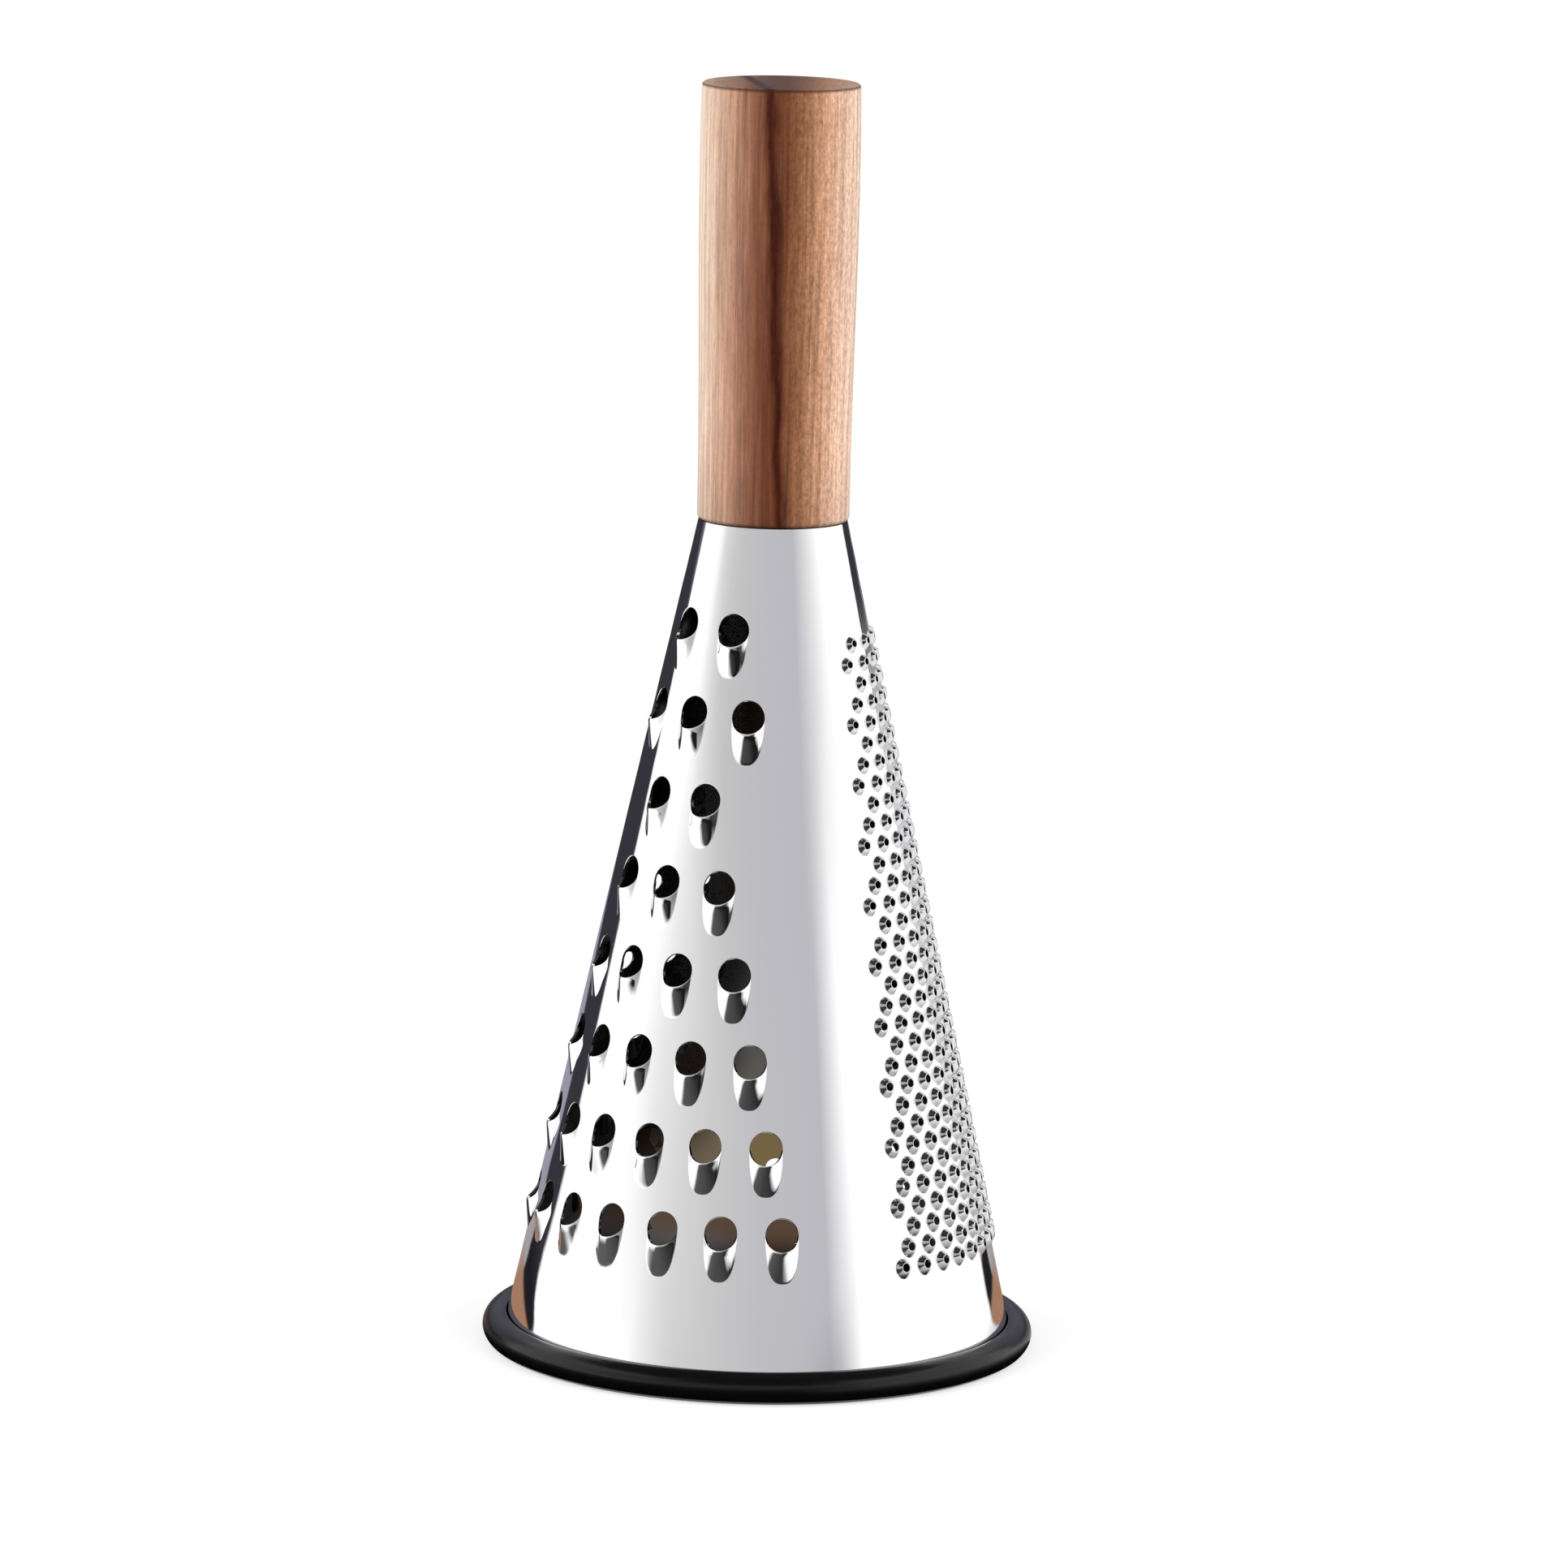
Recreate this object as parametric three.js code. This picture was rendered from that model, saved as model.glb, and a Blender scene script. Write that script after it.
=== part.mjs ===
// Conical hand grater: a punched and rolled steel cone with a rubber foot ring round its rim,
// a turned wooden handle on its small end, and the plate and screw that hold the two together.
// Millimetres, +Z up, origin on the axis at the foot, front towards -Y.
// Azimuths are in degrees from the front towards +X.
import * as THREE from 'three';

// Cone sheet
const CONE_FOOT_RADIUS = 52.4; // outer line of the cone carried down to the floor
const CONE_TOP_RADIUS = 15.03;
const CONE_TOP_HEIGHT = 170;
const SHEET_THICKNESS = 0.5;
const RIM_HEIGHT = 2.2; // underside of the rim's turned-out flange
const FLANGE_WIDTH = 1.6;

// Foot ring
const RING_SECTION = 6.4;
const RING_FOOT_WIDTH = 1.8; // flat that the ring stands on
const RING_SET_OUT = 1.2; // middle of the ring's section outside the sheet at the rim

// Handle
const HANDLE_LENGTH = 88;
const HANDLE_FOOT_RADIUS = 15.35;
const HANDLE_WAIST_RADIUS = 15.6;
const HANDLE_SWELL_RADIUS = 16.05;
const HANDLE_TOP_RADIUS = 15.9;
const HANDLE_WAIST_HEIGHT = 30; // above the handle's foot
const HANDLE_SWELL_HEIGHT = 60;
const HANDLE_FOOT_ROUND = 1.0;
const HANDLE_TOP_ROUND = 0.7;

// End plate and screw
const PLATE_THICKNESS = 0.8;
const PLATE_SKIRT = 5;
const SCREW_DIAMETER = 4;
const SCREW_LENGTH = 26; // above the plate
const SCREW_POINT = 5;
const SCREW_HEAD_DIAMETER = 8;
const SCREW_HEAD_HEIGHT = 2.6;
const SCREW_HEAD_WALL = 0.9; // straight part of the head under its dome
const PILOT_SPARE_DEPTH = 3; // bore beyond the screw's point

const CLEARANCE = 0.3;

// Plain strips that part the three grating zones, each along one line from rim to top
const STRIP_COARSE_FINE = 27.8;
const STRIP_FINE_MEDIUM = 158.8;
const STRIP_MEDIUM_COARSE = 250.6;

// Scoop teeth: a round hole whose lower edge stands out as a lip above a rounded scoop.
// Pitches are along the sheet, first rows are heights of hole centres above the floor, and
// side margins are from a strip's line to the nearest hole centre. Fullness is the exponent of
// the scoop's outline: 2 is half an ellipse, and more is squarer. Across the lip its height
// follows a parabola.
const COARSE = {
  holeDiameter: 6.7,
  lipHeight: 1.6,
  scoopLength: 9.7, // from the hole's centre down to the scoop's end
  scoopFullness: 2.7,
  pitch: 12.3,
  rowPitch: 17.17,
  firstRow: 32.4,
  topMargin: 18,
  sideMargin: 14.5,
  holeSegments: 4,
  lipSegments: 6,
};
const MEDIUM = {
  holeDiameter: 4.4,
  lipHeight: 1.1,
  scoopLength: 6.6,
  scoopFullness: 2.7,
  pitch: 11.75,
  rowPitch: 16.5,
  firstRow: 26,
  topMargin: 18,
  sideMargin: 10,
  holeSegments: 3,
  lipSegments: 4,
};

// Fine burrs: small pierced pyramids in staggered rows, corner to corner along a row
const FINE = {
  burrHeight: 0.9,
  burrLength: 4, // along the slope
  mouthWidth: 2.2,
  mouthLength: 1.9,
  pitch: 5.66,
  rowPitch: 4.036,
  firstRow: 24.5,
  topMargin: 22,
  sideMargin: 6.8,
};

// Facets
const RIM_SEGMENTS = 44;
const TOP_SEGMENTS = 32;
const SCREW_SEGMENTS = 16;
const RING_ARC_SEGMENTS = 11;
const HANDLE_SIDE_SEGMENTS = 5;
const FACET_LENGTH = 12;
const FACET_SHARE_OF_RADIUS = 0.42;
const COLLAR_DEPTH = 6; // rings of points this far in from the rim and the top keep both ends true

// Cone geometry: a point of the sheet is its slant distance from the apex and its angle round the
// apex in the flat blank, and its lift is its distance from the outer surface along the normal
const HALF_ANGLE = Math.atan((CONE_FOOT_RADIUS - CONE_TOP_RADIUS) / CONE_TOP_HEIGHT);
const SIN = Math.sin(HALF_ANGLE);
const COS = Math.cos(HALF_ANGLE);
const APEX_HEIGHT = CONE_FOOT_RADIUS / Math.tan(HALF_ANGLE);
const BLANK_ANGLE = 2 * Math.PI * SIN;
const FLANGE_TOP = RIM_HEIGHT + SHEET_THICKNESS;
const HANDLE_FOOT = CONE_TOP_HEIGHT;

const outerRadius = (height) => (APEX_HEIGHT - height) * Math.tan(HALF_ANGLE);
const innerRadius = (height) => outerRadius(height) - SHEET_THICKNESS / COS;
const slantAt = (height, lift = 0) => (APEX_HEIGHT + lift * SIN - height) / COS;
const blankAngle = (azimuth) => THREE.MathUtils.degToRad(azimuth) * SIN;

function onCone({ slant, angle }, lift) {
  const radius = slant * SIN + lift * COS;
  const azimuth = angle / SIN;
  const height = APEX_HEIGHT - slant * COS + lift * SIN;
  return new THREE.Vector3(radius * Math.sin(azimuth), -radius * Math.cos(azimuth), height);
}

function onRing(radius, azimuth, height) {
  return new THREE.Vector3(radius * Math.sin(azimuth), -radius * Math.cos(azimuth), height);
}

// A place given across and up from a tooth's centre, measured in the flat blank
function besideTooth(centre, across, up) {
  const along = centre.slant - up;
  return { slant: Math.hypot(across, along), angle: centre.angle + Math.atan2(across, along) };
}

// Angle between two directions of the blank the short way round the rolled cone
function angleBetween(a, b) {
  const turn = (a - b) / BLANK_ANGLE;
  return (turn - Math.round(turn)) * BLANK_ANGLE;
}

function blankDistance(a, b) {
  const chord = 2 * a.slant * b.slant * Math.cos(angleBetween(a.angle, b.angle));
  return Math.sqrt(Math.max(0, a.slant ** 2 + b.slant ** 2 - chord));
}

// Tooth centres of one zone, row by row: every other row is set off by half a pitch
function zoneRows(zone, fromAzimuth, toAzimuth) {
  const middle = blankAngle((fromAzimuth + toAzimuth) / 2);
  const halfAngle = blankAngle((toAzimuth - fromAzimuth) / 2);
  const rows = [];
  const lastRow = CONE_TOP_HEIGHT - zone.topMargin;
  for (let row = 0; zone.firstRow + row * zone.rowPitch * COS <= lastRow; row += 1) {
    const slant = slantAt(zone.firstRow + row * zone.rowPitch * COS);
    const reach = (halfAngle * slant - zone.sideMargin) / zone.pitch;
    const setOff = row % 2 === 0 ? 0 : 0.5;
    const last = Math.floor(reach - setOff) + setOff;
    const centres = [];
    for (let place = -last; place <= last; place += 1) {
      centres.push({ slant, angle: middle + (place * zone.pitch) / slant });
    }
    rows.push(centres);
  }
  return rows;
}

// Sheet under construction: points of the blank, each rolled into an outer and an inner vertex,
// and the triangles of the finished surface
class Sheet {
  constructor() {
    this.points = [];
    this.teeth = 0;
    this.vertices = [];
    this.triangles = [];
  }

  addVertex(position) {
    this.vertices.push(position);
    return this.vertices.length - 1;
  }

  addPoint(place, ring = 'none') {
    let innerSlant = place.slant;
    if (ring === 'top') innerSlant = slantAt(CONE_TOP_HEIGHT, -SHEET_THICKNESS);
    if (ring === 'rim') innerSlant = slantAt(RIM_HEIGHT, -SHEET_THICKNESS);
    const point = { slant: place.slant, angle: place.angle, ring, teeth: [] };
    point.outer = this.addVertex(onCone(place, 0));
    point.inner = this.addVertex(onCone({ slant: innerSlant, angle: place.angle }, -SHEET_THICKNESS));
    this.points.push(point);
    return point;
  }

  addRing(height, segments, ring = 'none') {
    const points = [];
    for (let i = 0; i < segments; i += 1) {
      const angle = (i / segments) * BLANK_ANGLE;
      points.push(this.addPoint({ slant: slantAt(height), angle }, ring));
    }
    return points;
  }

  addTriangle(a, b, c) {
    this.triangles.push([a, b, c]);
  }

  addQuad(a, b, c, d) {
    this.addTriangle(a, b, c);
    this.addTriangle(a, c, d);
  }

  // The points of one outline belong to the tooth that stands inside it
  claim(outline) {
    this.teeth += 1;
    outline.forEach((point) => point.teeth.push(this.teeth));
  }
}

function addScoopTooth(sheet, centre, tooth) {
  const radius = tooth.holeDiameter / 2;
  const arc = [];
  for (let i = 0; i <= tooth.holeSegments; i += 1) {
    const turn = (Math.PI * i) / tooth.holeSegments;
    arc.push(sheet.addPoint(besideTooth(centre, radius * Math.cos(turn), radius * Math.sin(turn))));
  }
  const scoop = [arc.at(-1)];
  const lip = [];
  const power = 2 / tooth.scoopFullness;
  for (let i = 1; i < tooth.lipSegments; i += 1) {
    const turn = (Math.PI * i) / tooth.lipSegments;
    const aside = Math.cos(turn);
    const down = Math.sin(turn);
    const wide = radius * Math.sign(aside) * Math.abs(aside) ** power;
    scoop.push(sheet.addPoint(besideTooth(centre, -wide, -tooth.scoopLength * down ** power)));
    const edge = besideTooth(centre, -radius * aside, -radius * down);
    lip[i] = sheet.addVertex(onCone(edge, tooth.lipHeight * down ** 2));
  }
  scoop.push(arc[0]);
  sheet.claim([...new Set([...arc, ...scoop])]);

  for (let i = 0; i < tooth.holeSegments; i += 1) {
    sheet.addQuad(arc[i].outer, arc[i + 1].outer, arc[i + 1].inner, arc[i].inner);
  }
  const last = tooth.lipSegments - 1;
  sheet.addTriangle(scoop[0].outer, lip[1], scoop[0].inner);
  sheet.addTriangle(scoop[0].outer, scoop[1].outer, lip[1]);
  sheet.addTriangle(scoop[0].inner, lip[1], scoop[1].inner);
  for (let i = 1; i < last; i += 1) {
    sheet.addQuad(scoop[i].outer, scoop[i + 1].outer, lip[i + 1], lip[i]);
    sheet.addQuad(scoop[i].inner, lip[i], lip[i + 1], scoop[i + 1].inner);
  }
  sheet.addTriangle(scoop[last].outer, scoop[last + 1].outer, lip[last]);
  sheet.addTriangle(scoop[last].inner, lip[last], scoop[last + 1].inner);
  sheet.addTriangle(lip[last], scoop[last + 1].outer, scoop[last + 1].inner);
}

function addBurr(sheet, centre, outline) {
  sheet.claim(outline);
  const tips = [[1, 1], [-1, 1], [-1, -1], [1, -1]].map(([side, up]) => {
    const place = besideTooth(centre, (side * FINE.mouthWidth) / 2, (up * FINE.mouthLength) / 2);
    return sheet.addVertex(onCone(place, FINE.burrHeight));
  });
  outline.forEach((corner, i) => {
    const next = (i + 1) % outline.length;
    sheet.addTriangle(corner.outer, outline[next].outer, tips[i]);
    sheet.addTriangle(outline[next].outer, tips[next], tips[i]);
    sheet.addTriangle(corner.inner, tips[i], outline[next].inner);
    sheet.addTriangle(outline[next].inner, tips[i], tips[next]);
  });
}

function addBurrRow(sheet, centres) {
  const halfTurn = FINE.pitch / 2 / centres[0].slant;
  const { slant, angle } = centres[0];
  let left = sheet.addPoint({ slant, angle: angle - halfTurn });
  centres.forEach((centre) => {
    const right = sheet.addPoint({ slant, angle: centre.angle + halfTurn });
    const top = sheet.addPoint({ slant: slant - FINE.burrLength / 2, angle: centre.angle });
    const bottom = sheet.addPoint({ slant: slant + FINE.burrLength / 2, angle: centre.angle });
    addBurr(sheet, centre, [right, top, left, bottom]);
    left = right;
  });
}

// Plain sheet between the teeth gets points about one facet apart
function addPlainPoints(sheet) {
  const lowest = slantAt(FLANGE_TOP);
  const highest = slantAt(CONE_TOP_HEIGHT);
  for (let slant = lowest; slant > highest; slant -= FACET_LENGTH / 3) {
    const spacing = Math.min(FACET_LENGTH, FACET_SHARE_OF_RADIUS * slant * SIN);
    const steps = Math.ceil((BLANK_ANGLE * slant) / (spacing / 3));
    for (let i = 0; i < steps; i += 1) {
      const place = { slant, angle: (i / steps) * BLANK_ANGLE };
      const free = sheet.points.every((point) => blankDistance(point, place) >= spacing);
      if (free) sheet.addPoint(place);
    }
  }
}

// Small fixed offset that keeps four points from lying on one circle
function nudge(index) {
  const spread = Math.sin(index * 12.9898) * 43758.5453;
  return (spread - Math.floor(spread) - 0.5) * 1e-4;
}

function circleThrough(a, b, c) {
  const bx = b.x - a.x;
  const by = b.y - a.y;
  const cx = c.x - a.x;
  const cy = c.y - a.y;
  const twiceArea = bx * cy - by * cx;
  const bb = bx * bx + by * by;
  const cc = cx * cx + cy * cy;
  const x = (cy * bb - by * cc) / (2 * twiceArea);
  const y = (bx * cc - cx * bb) / (2 * twiceArea);
  return { x: a.x + x, y: a.y + y, squared: x * x + y * y, turnsLeft: twiceArea > 0 };
}

// Delaunay triangles of flat points, each as three indices turning left
function delaunay(flat) {
  const far = 100 * APEX_HEIGHT;
  const count = flat.length;
  const all = [...flat, { x: -far, y: -far }, { x: far, y: -far }, { x: 0, y: far }];
  const make = (a, b, c) => {
    const circle = circleThrough(all[a], all[b], all[c]);
    return { corners: circle.turnsLeft ? [a, b, c] : [a, c, b], circle };
  };
  let triangles = [make(count, count + 1, count + 2)];
  for (let index = 0; index < count; index += 1) {
    const { x, y } = all[index];
    const rim = new Map();
    const kept = [];
    for (const triangle of triangles) {
      const { circle, corners } = triangle;
      if ((x - circle.x) ** 2 + (y - circle.y) ** 2 >= circle.squared) {
        kept.push(triangle);
        continue;
      }
      for (let i = 0; i < 3; i += 1) {
        const a = corners[i];
        const b = corners[(i + 1) % 3];
        const back = `${b},${a}`;
        if (rim.has(back)) rim.delete(back);
        else rim.set(`${a},${b}`, [a, b]);
      }
    }
    for (const [a, b] of rim.values()) kept.push(make(a, b, index));
    triangles = kept;
  }
  return triangles.map(({ corners }) => corners).filter((corners) => Math.max(...corners) < count);
}

// Lays the points out flat, with both ends of the blank repeated past its edges so that the
// triangles close round the rolled cone, and keeps each triangle once
function addSheetFaces(sheet) {
  const places = [];
  const owners = [];
  const lay = (point, index, turn) => {
    const slant = point.slant + nudge(2 * index);
    const angle = angleBetween(point.angle, 0) + nudge(2 * index + 1) / slant + turn;
    places.push({ x: slant * Math.sin(angle), y: -slant * Math.cos(angle) });
    owners.push(point);
  };
  sheet.points.forEach((point, index) => {
    const side = angleBetween(point.angle, 0);
    lay(point, index, 0);
    if (side > BLANK_ANGLE / 4) lay(point, index, -BLANK_ANGLE);
    if (side < -BLANK_ANGLE / 4) lay(point, index, BLANK_ANGLE);
  });
  for (const corners of delaunay(places)) {
    const middleX = corners.reduce((sum, corner) => sum + places[corner].x, 0);
    const middleY = corners.reduce((sum, corner) => sum + places[corner].y, 0);
    const turn = Math.atan2(middleX, -middleY) / BLANK_ANGLE;
    const inBlank = turn >= -0.5 && turn < 0.5;
    const [a, b, c] = corners.map((corner) => owners[corner]);
    const inTooth = a.teeth.some((tooth) => b.teeth.includes(tooth) && c.teeth.includes(tooth));
    const aboveTop = [a, b, c].every((point) => point.ring === 'top');
    if (inBlank && !inTooth && !aboveTop) {
      sheet.addTriangle(a.outer, b.outer, c.outer);
      sheet.addTriangle(a.inner, c.inner, b.inner);
    }
  }
}

// Cut edge at the small end
function addTopEdge(sheet, ring) {
  ring.forEach((point, i) => {
    const next = ring[(i + 1) % ring.length];
    sheet.addQuad(point.outer, next.outer, next.inner, point.inner);
  });
}

// Flange turned out at the rim
function addFlange(sheet, ring) {
  const radius = outerRadius(FLANGE_TOP) + FLANGE_WIDTH;
  const edges = ring.map((point) => {
    const azimuth = point.angle / SIN;
    const upper = sheet.addVertex(onRing(radius, azimuth, FLANGE_TOP));
    const lower = sheet.addVertex(onRing(radius, azimuth, RIM_HEIGHT));
    return { upper, lower };
  });
  ring.forEach((point, i) => {
    const j = (i + 1) % ring.length;
    sheet.addQuad(ring[j].outer, point.outer, edges[i].upper, edges[j].upper);
    sheet.addQuad(edges[j].upper, edges[i].upper, edges[i].lower, edges[j].lower);
    sheet.addQuad(edges[j].lower, edges[i].lower, point.inner, ring[j].inner);
  });
}

function coneGeometry() {
  const sheet = new Sheet();
  const rim = sheet.addRing(FLANGE_TOP, RIM_SEGMENTS, 'rim');
  const top = sheet.addRing(CONE_TOP_HEIGHT, TOP_SEGMENTS, 'top');
  sheet.addRing(FLANGE_TOP + COLLAR_DEPTH, RIM_SEGMENTS);
  sheet.addRing(CONE_TOP_HEIGHT - PLATE_SKIRT - COLLAR_DEPTH / 2, TOP_SEGMENTS);
  const coarse = zoneRows(COARSE, STRIP_MEDIUM_COARSE - 360, STRIP_COARSE_FINE);
  const fine = zoneRows(FINE, STRIP_COARSE_FINE, STRIP_FINE_MEDIUM);
  const medium = zoneRows(MEDIUM, STRIP_FINE_MEDIUM, STRIP_MEDIUM_COARSE);
  coarse.flat().forEach((centre) => addScoopTooth(sheet, centre, COARSE));
  medium.flat().forEach((centre) => addScoopTooth(sheet, centre, MEDIUM));
  fine.filter((row) => row.length > 0).forEach((row) => addBurrRow(sheet, row));
  addPlainPoints(sheet);
  addSheetFaces(sheet);
  addTopEdge(sheet, top);
  addFlange(sheet, rim);

  const geometry = new THREE.BufferGeometry().setFromPoints(sheet.vertices);
  geometry.setIndex(sheet.triangles.flat());
  geometry.computeVertexNormals();
  return geometry;
}

// Solid of revolution about +Z from a profile of [radius, height] points
function revolve(profile, segments) {
  const points = profile.map(([radius, height]) => new THREE.Vector2(radius, height));
  return new THREE.LatheGeometry(points, segments).rotateX(Math.PI / 2);
}

// Round rubber section, flat underneath, with a slot that takes the sheet and its flange
function ringGeometry() {
  const round = RING_SECTION / 2;
  const middleRadius = outerRadius(FLANGE_TOP) + RING_SET_OUT;
  const middleHeight = Math.sqrt(round ** 2 - (RING_FOOT_WIDTH / 2) ** 2);
  const onSection = (turn) => [
    middleRadius + round * Math.cos(turn),
    middleHeight + round * Math.sin(turn),
  ];
  const lean = Math.tan(HALF_ANGLE);

  // Where a slot wall, leaning with the cone, comes out through the round section
  const slotMouth = (radiusAtFloor) => {
    const offset = radiusAtFloor - lean * middleHeight - middleRadius;
    const half = offset * lean;
    const rise = (half + Math.sqrt(half ** 2 + (1 + lean ** 2) * (round ** 2 - offset ** 2))) / (1 + lean ** 2);
    return Math.atan2(rise, offset - lean * rise);
  };
  const slotOuter = outerRadius(0) + CLEARANCE;
  const slotInner = innerRadius(0) - CLEARANCE;
  const flangeEdge = outerRadius(FLANGE_TOP) + FLANGE_WIDTH + CLEARANCE;
  const flangeCeiling = FLANGE_TOP + CLEARANCE;

  const start = slotMouth(slotOuter);
  const footTurn = Math.asin(middleHeight / round);
  const end = slotMouth(slotInner) - 2 * Math.PI;
  const profile = [];
  const addArc = (from, to) => {
    const steps = Math.max(2, Math.round((RING_ARC_SEGMENTS * Math.abs(to - from)) / (2 * Math.PI)));
    for (let i = 0; i <= steps; i += 1) profile.push(onSection(from + ((to - from) * i) / steps));
  };
  addArc(start, -footTurn);
  addArc(footTurn - Math.PI, end);
  profile.push([slotInner - lean * RIM_HEIGHT, RIM_HEIGHT]);
  profile.push([flangeEdge, RIM_HEIGHT]);
  profile.push([flangeEdge, flangeCeiling]);
  profile.push([slotOuter - lean * flangeCeiling, flangeCeiling]);
  profile.push(profile[0]);
  return revolve(profile.reverse(), RIM_SEGMENTS);
}

// Turned handle, slimmer towards the cone, with rounded edges and a pilot bore for the screw
function handleGeometry() {
  const top = HANDLE_FOOT + HANDLE_LENGTH;
  const bore = SCREW_DIAMETER / 2 + CLEARANCE;
  const boreTop = HANDLE_FOOT + SCREW_LENGTH + PILOT_SPARE_DEPTH;
  const side = new THREE.SplineCurve([
    new THREE.Vector2(HANDLE_FOOT_RADIUS, HANDLE_FOOT + HANDLE_FOOT_ROUND),
    new THREE.Vector2(HANDLE_WAIST_RADIUS, HANDLE_FOOT + HANDLE_WAIST_HEIGHT),
    new THREE.Vector2(HANDLE_SWELL_RADIUS, HANDLE_FOOT + HANDLE_SWELL_HEIGHT),
    new THREE.Vector2(HANDLE_TOP_RADIUS, top - HANDLE_TOP_ROUND),
  ]);
  const chamfer = 1 - Math.SQRT1_2;
  const profile = [
    [0, boreTop],
    [bore, boreTop],
    [bore, HANDLE_FOOT],
    [HANDLE_FOOT_RADIUS - HANDLE_FOOT_ROUND, HANDLE_FOOT],
    [HANDLE_FOOT_RADIUS - HANDLE_FOOT_ROUND * chamfer, HANDLE_FOOT + HANDLE_FOOT_ROUND * chamfer],
    ...side.getPoints(HANDLE_SIDE_SEGMENTS).map((point) => [point.x, point.y]),
    [HANDLE_TOP_RADIUS - HANDLE_TOP_ROUND * chamfer, top - HANDLE_TOP_ROUND * chamfer],
    [HANDLE_TOP_RADIUS - HANDLE_TOP_ROUND, top],
    [0, top],
  ];
  return revolve(profile, TOP_SEGMENTS);
}

// Drawn steel cup that closes the small end and takes the screw
function plateGeometry() {
  const hole = SCREW_DIAMETER / 2 + CLEARANCE;
  const skirtFoot = CONE_TOP_HEIGHT - PLATE_SKIRT;
  const underside = CONE_TOP_HEIGHT - PLATE_THICKNESS;
  const wall = PLATE_THICKNESS / COS;
  const profile = [
    [hole, CONE_TOP_HEIGHT],
    [hole, underside],
    [innerRadius(underside) - CLEARANCE - wall, underside],
    [innerRadius(skirtFoot) - CLEARANCE - wall, skirtFoot],
    [innerRadius(skirtFoot) - CLEARANCE, skirtFoot],
    [innerRadius(CONE_TOP_HEIGHT) - CLEARANCE, CONE_TOP_HEIGHT],
    [hole, CONE_TOP_HEIGHT],
  ];
  return revolve(profile, TOP_SEGMENTS);
}

// Pan head wood screw, driven up from inside the cone
function screwGeometry() {
  const seat = CONE_TOP_HEIGHT - PLATE_THICKNESS;
  const shank = SCREW_DIAMETER / 2;
  const head = SCREW_HEAD_DIAMETER / 2;
  const dome = SCREW_HEAD_HEIGHT - SCREW_HEAD_WALL;
  const tip = CONE_TOP_HEIGHT + SCREW_LENGTH;
  const shoulder = Math.SQRT1_2;
  const profile = [
    [0, seat - SCREW_HEAD_HEIGHT],
    [head * shoulder, seat - SCREW_HEAD_WALL - dome * shoulder],
    [head, seat - SCREW_HEAD_WALL],
    [head, seat],
    [shank, seat],
    [shank, tip - SCREW_POINT],
    [0, tip],
  ];
  return revolve(profile, SCREW_SEGMENTS);
}

function addPart(group, name, geometry, material) {
  const mesh = new THREE.Mesh(geometry, material);
  mesh.name = name;
  group.add(mesh);
}

const steel = new THREE.MeshStandardMaterial({ color: 0xd3d5d8, roughness: 0.12, metalness: 1 });
const rubber = new THREE.MeshStandardMaterial({ color: 0x1e2024, roughness: 0.45, metalness: 0 });
const wood = new THREE.MeshStandardMaterial({ color: 0xb58a63, roughness: 0.6, metalness: 0 });
const zinc = new THREE.MeshStandardMaterial({ color: 0xb9bcc0, roughness: 0.35, metalness: 1 });

const grater = new THREE.Group();
addPart(grater, 'grater_cone', coneGeometry(), steel);
addPart(grater, 'base_ring', ringGeometry(), rubber);
addPart(grater, 'handle', handleGeometry(), wood);
addPart(grater, 'end_plate', plateGeometry(), steel);
addPart(grater, 'handle_screw', screwGeometry(), zinc);

export default grater;
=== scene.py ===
# Looks of the conical hand grater: a mirror polished cone with coarse, medium and fine teeth,
# a black rubber foot ring, a turned wooden handle, and the plate and screw inside the small end.
# Shapes are worked out in millimetres in the part's own frame and scaled to metres once.
import math

import bpy
import numpy as np
from mathutils import Matrix, Vector
from mathutils.geometry import delaunay_2d_cdt


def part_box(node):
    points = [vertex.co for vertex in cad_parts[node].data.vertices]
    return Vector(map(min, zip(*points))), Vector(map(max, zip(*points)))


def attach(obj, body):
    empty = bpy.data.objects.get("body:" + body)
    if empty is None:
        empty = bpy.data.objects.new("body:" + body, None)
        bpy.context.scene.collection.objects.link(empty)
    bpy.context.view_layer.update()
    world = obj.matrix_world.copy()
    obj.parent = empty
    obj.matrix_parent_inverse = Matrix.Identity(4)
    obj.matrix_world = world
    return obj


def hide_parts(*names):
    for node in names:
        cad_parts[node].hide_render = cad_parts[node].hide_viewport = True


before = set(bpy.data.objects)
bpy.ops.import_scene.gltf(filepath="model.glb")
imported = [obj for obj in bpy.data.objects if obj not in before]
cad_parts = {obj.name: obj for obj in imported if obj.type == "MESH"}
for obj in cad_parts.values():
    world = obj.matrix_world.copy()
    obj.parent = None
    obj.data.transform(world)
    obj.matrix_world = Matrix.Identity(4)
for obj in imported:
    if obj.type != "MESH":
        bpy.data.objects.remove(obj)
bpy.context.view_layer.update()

MM = 0.001

# Cone sheet, with the same sizes as the solids
CONE_FOOT_RADIUS = 52.4
CONE_TOP_RADIUS = 15.03
CONE_TOP_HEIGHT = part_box("grater_cone")[1].z / MM
SHEET_THICKNESS = 0.5
RIM_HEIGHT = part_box("grater_cone")[0].z / MM
FLANGE_WIDTH = 1.6
CLEARANCE = 0.3

# Plain strips between the grating zones, in degrees from the front towards +X
STRIP_COARSE_FINE = 27.8
STRIP_FINE_MEDIUM = 158.8
STRIP_MEDIUM_COARSE = 250.6

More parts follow.
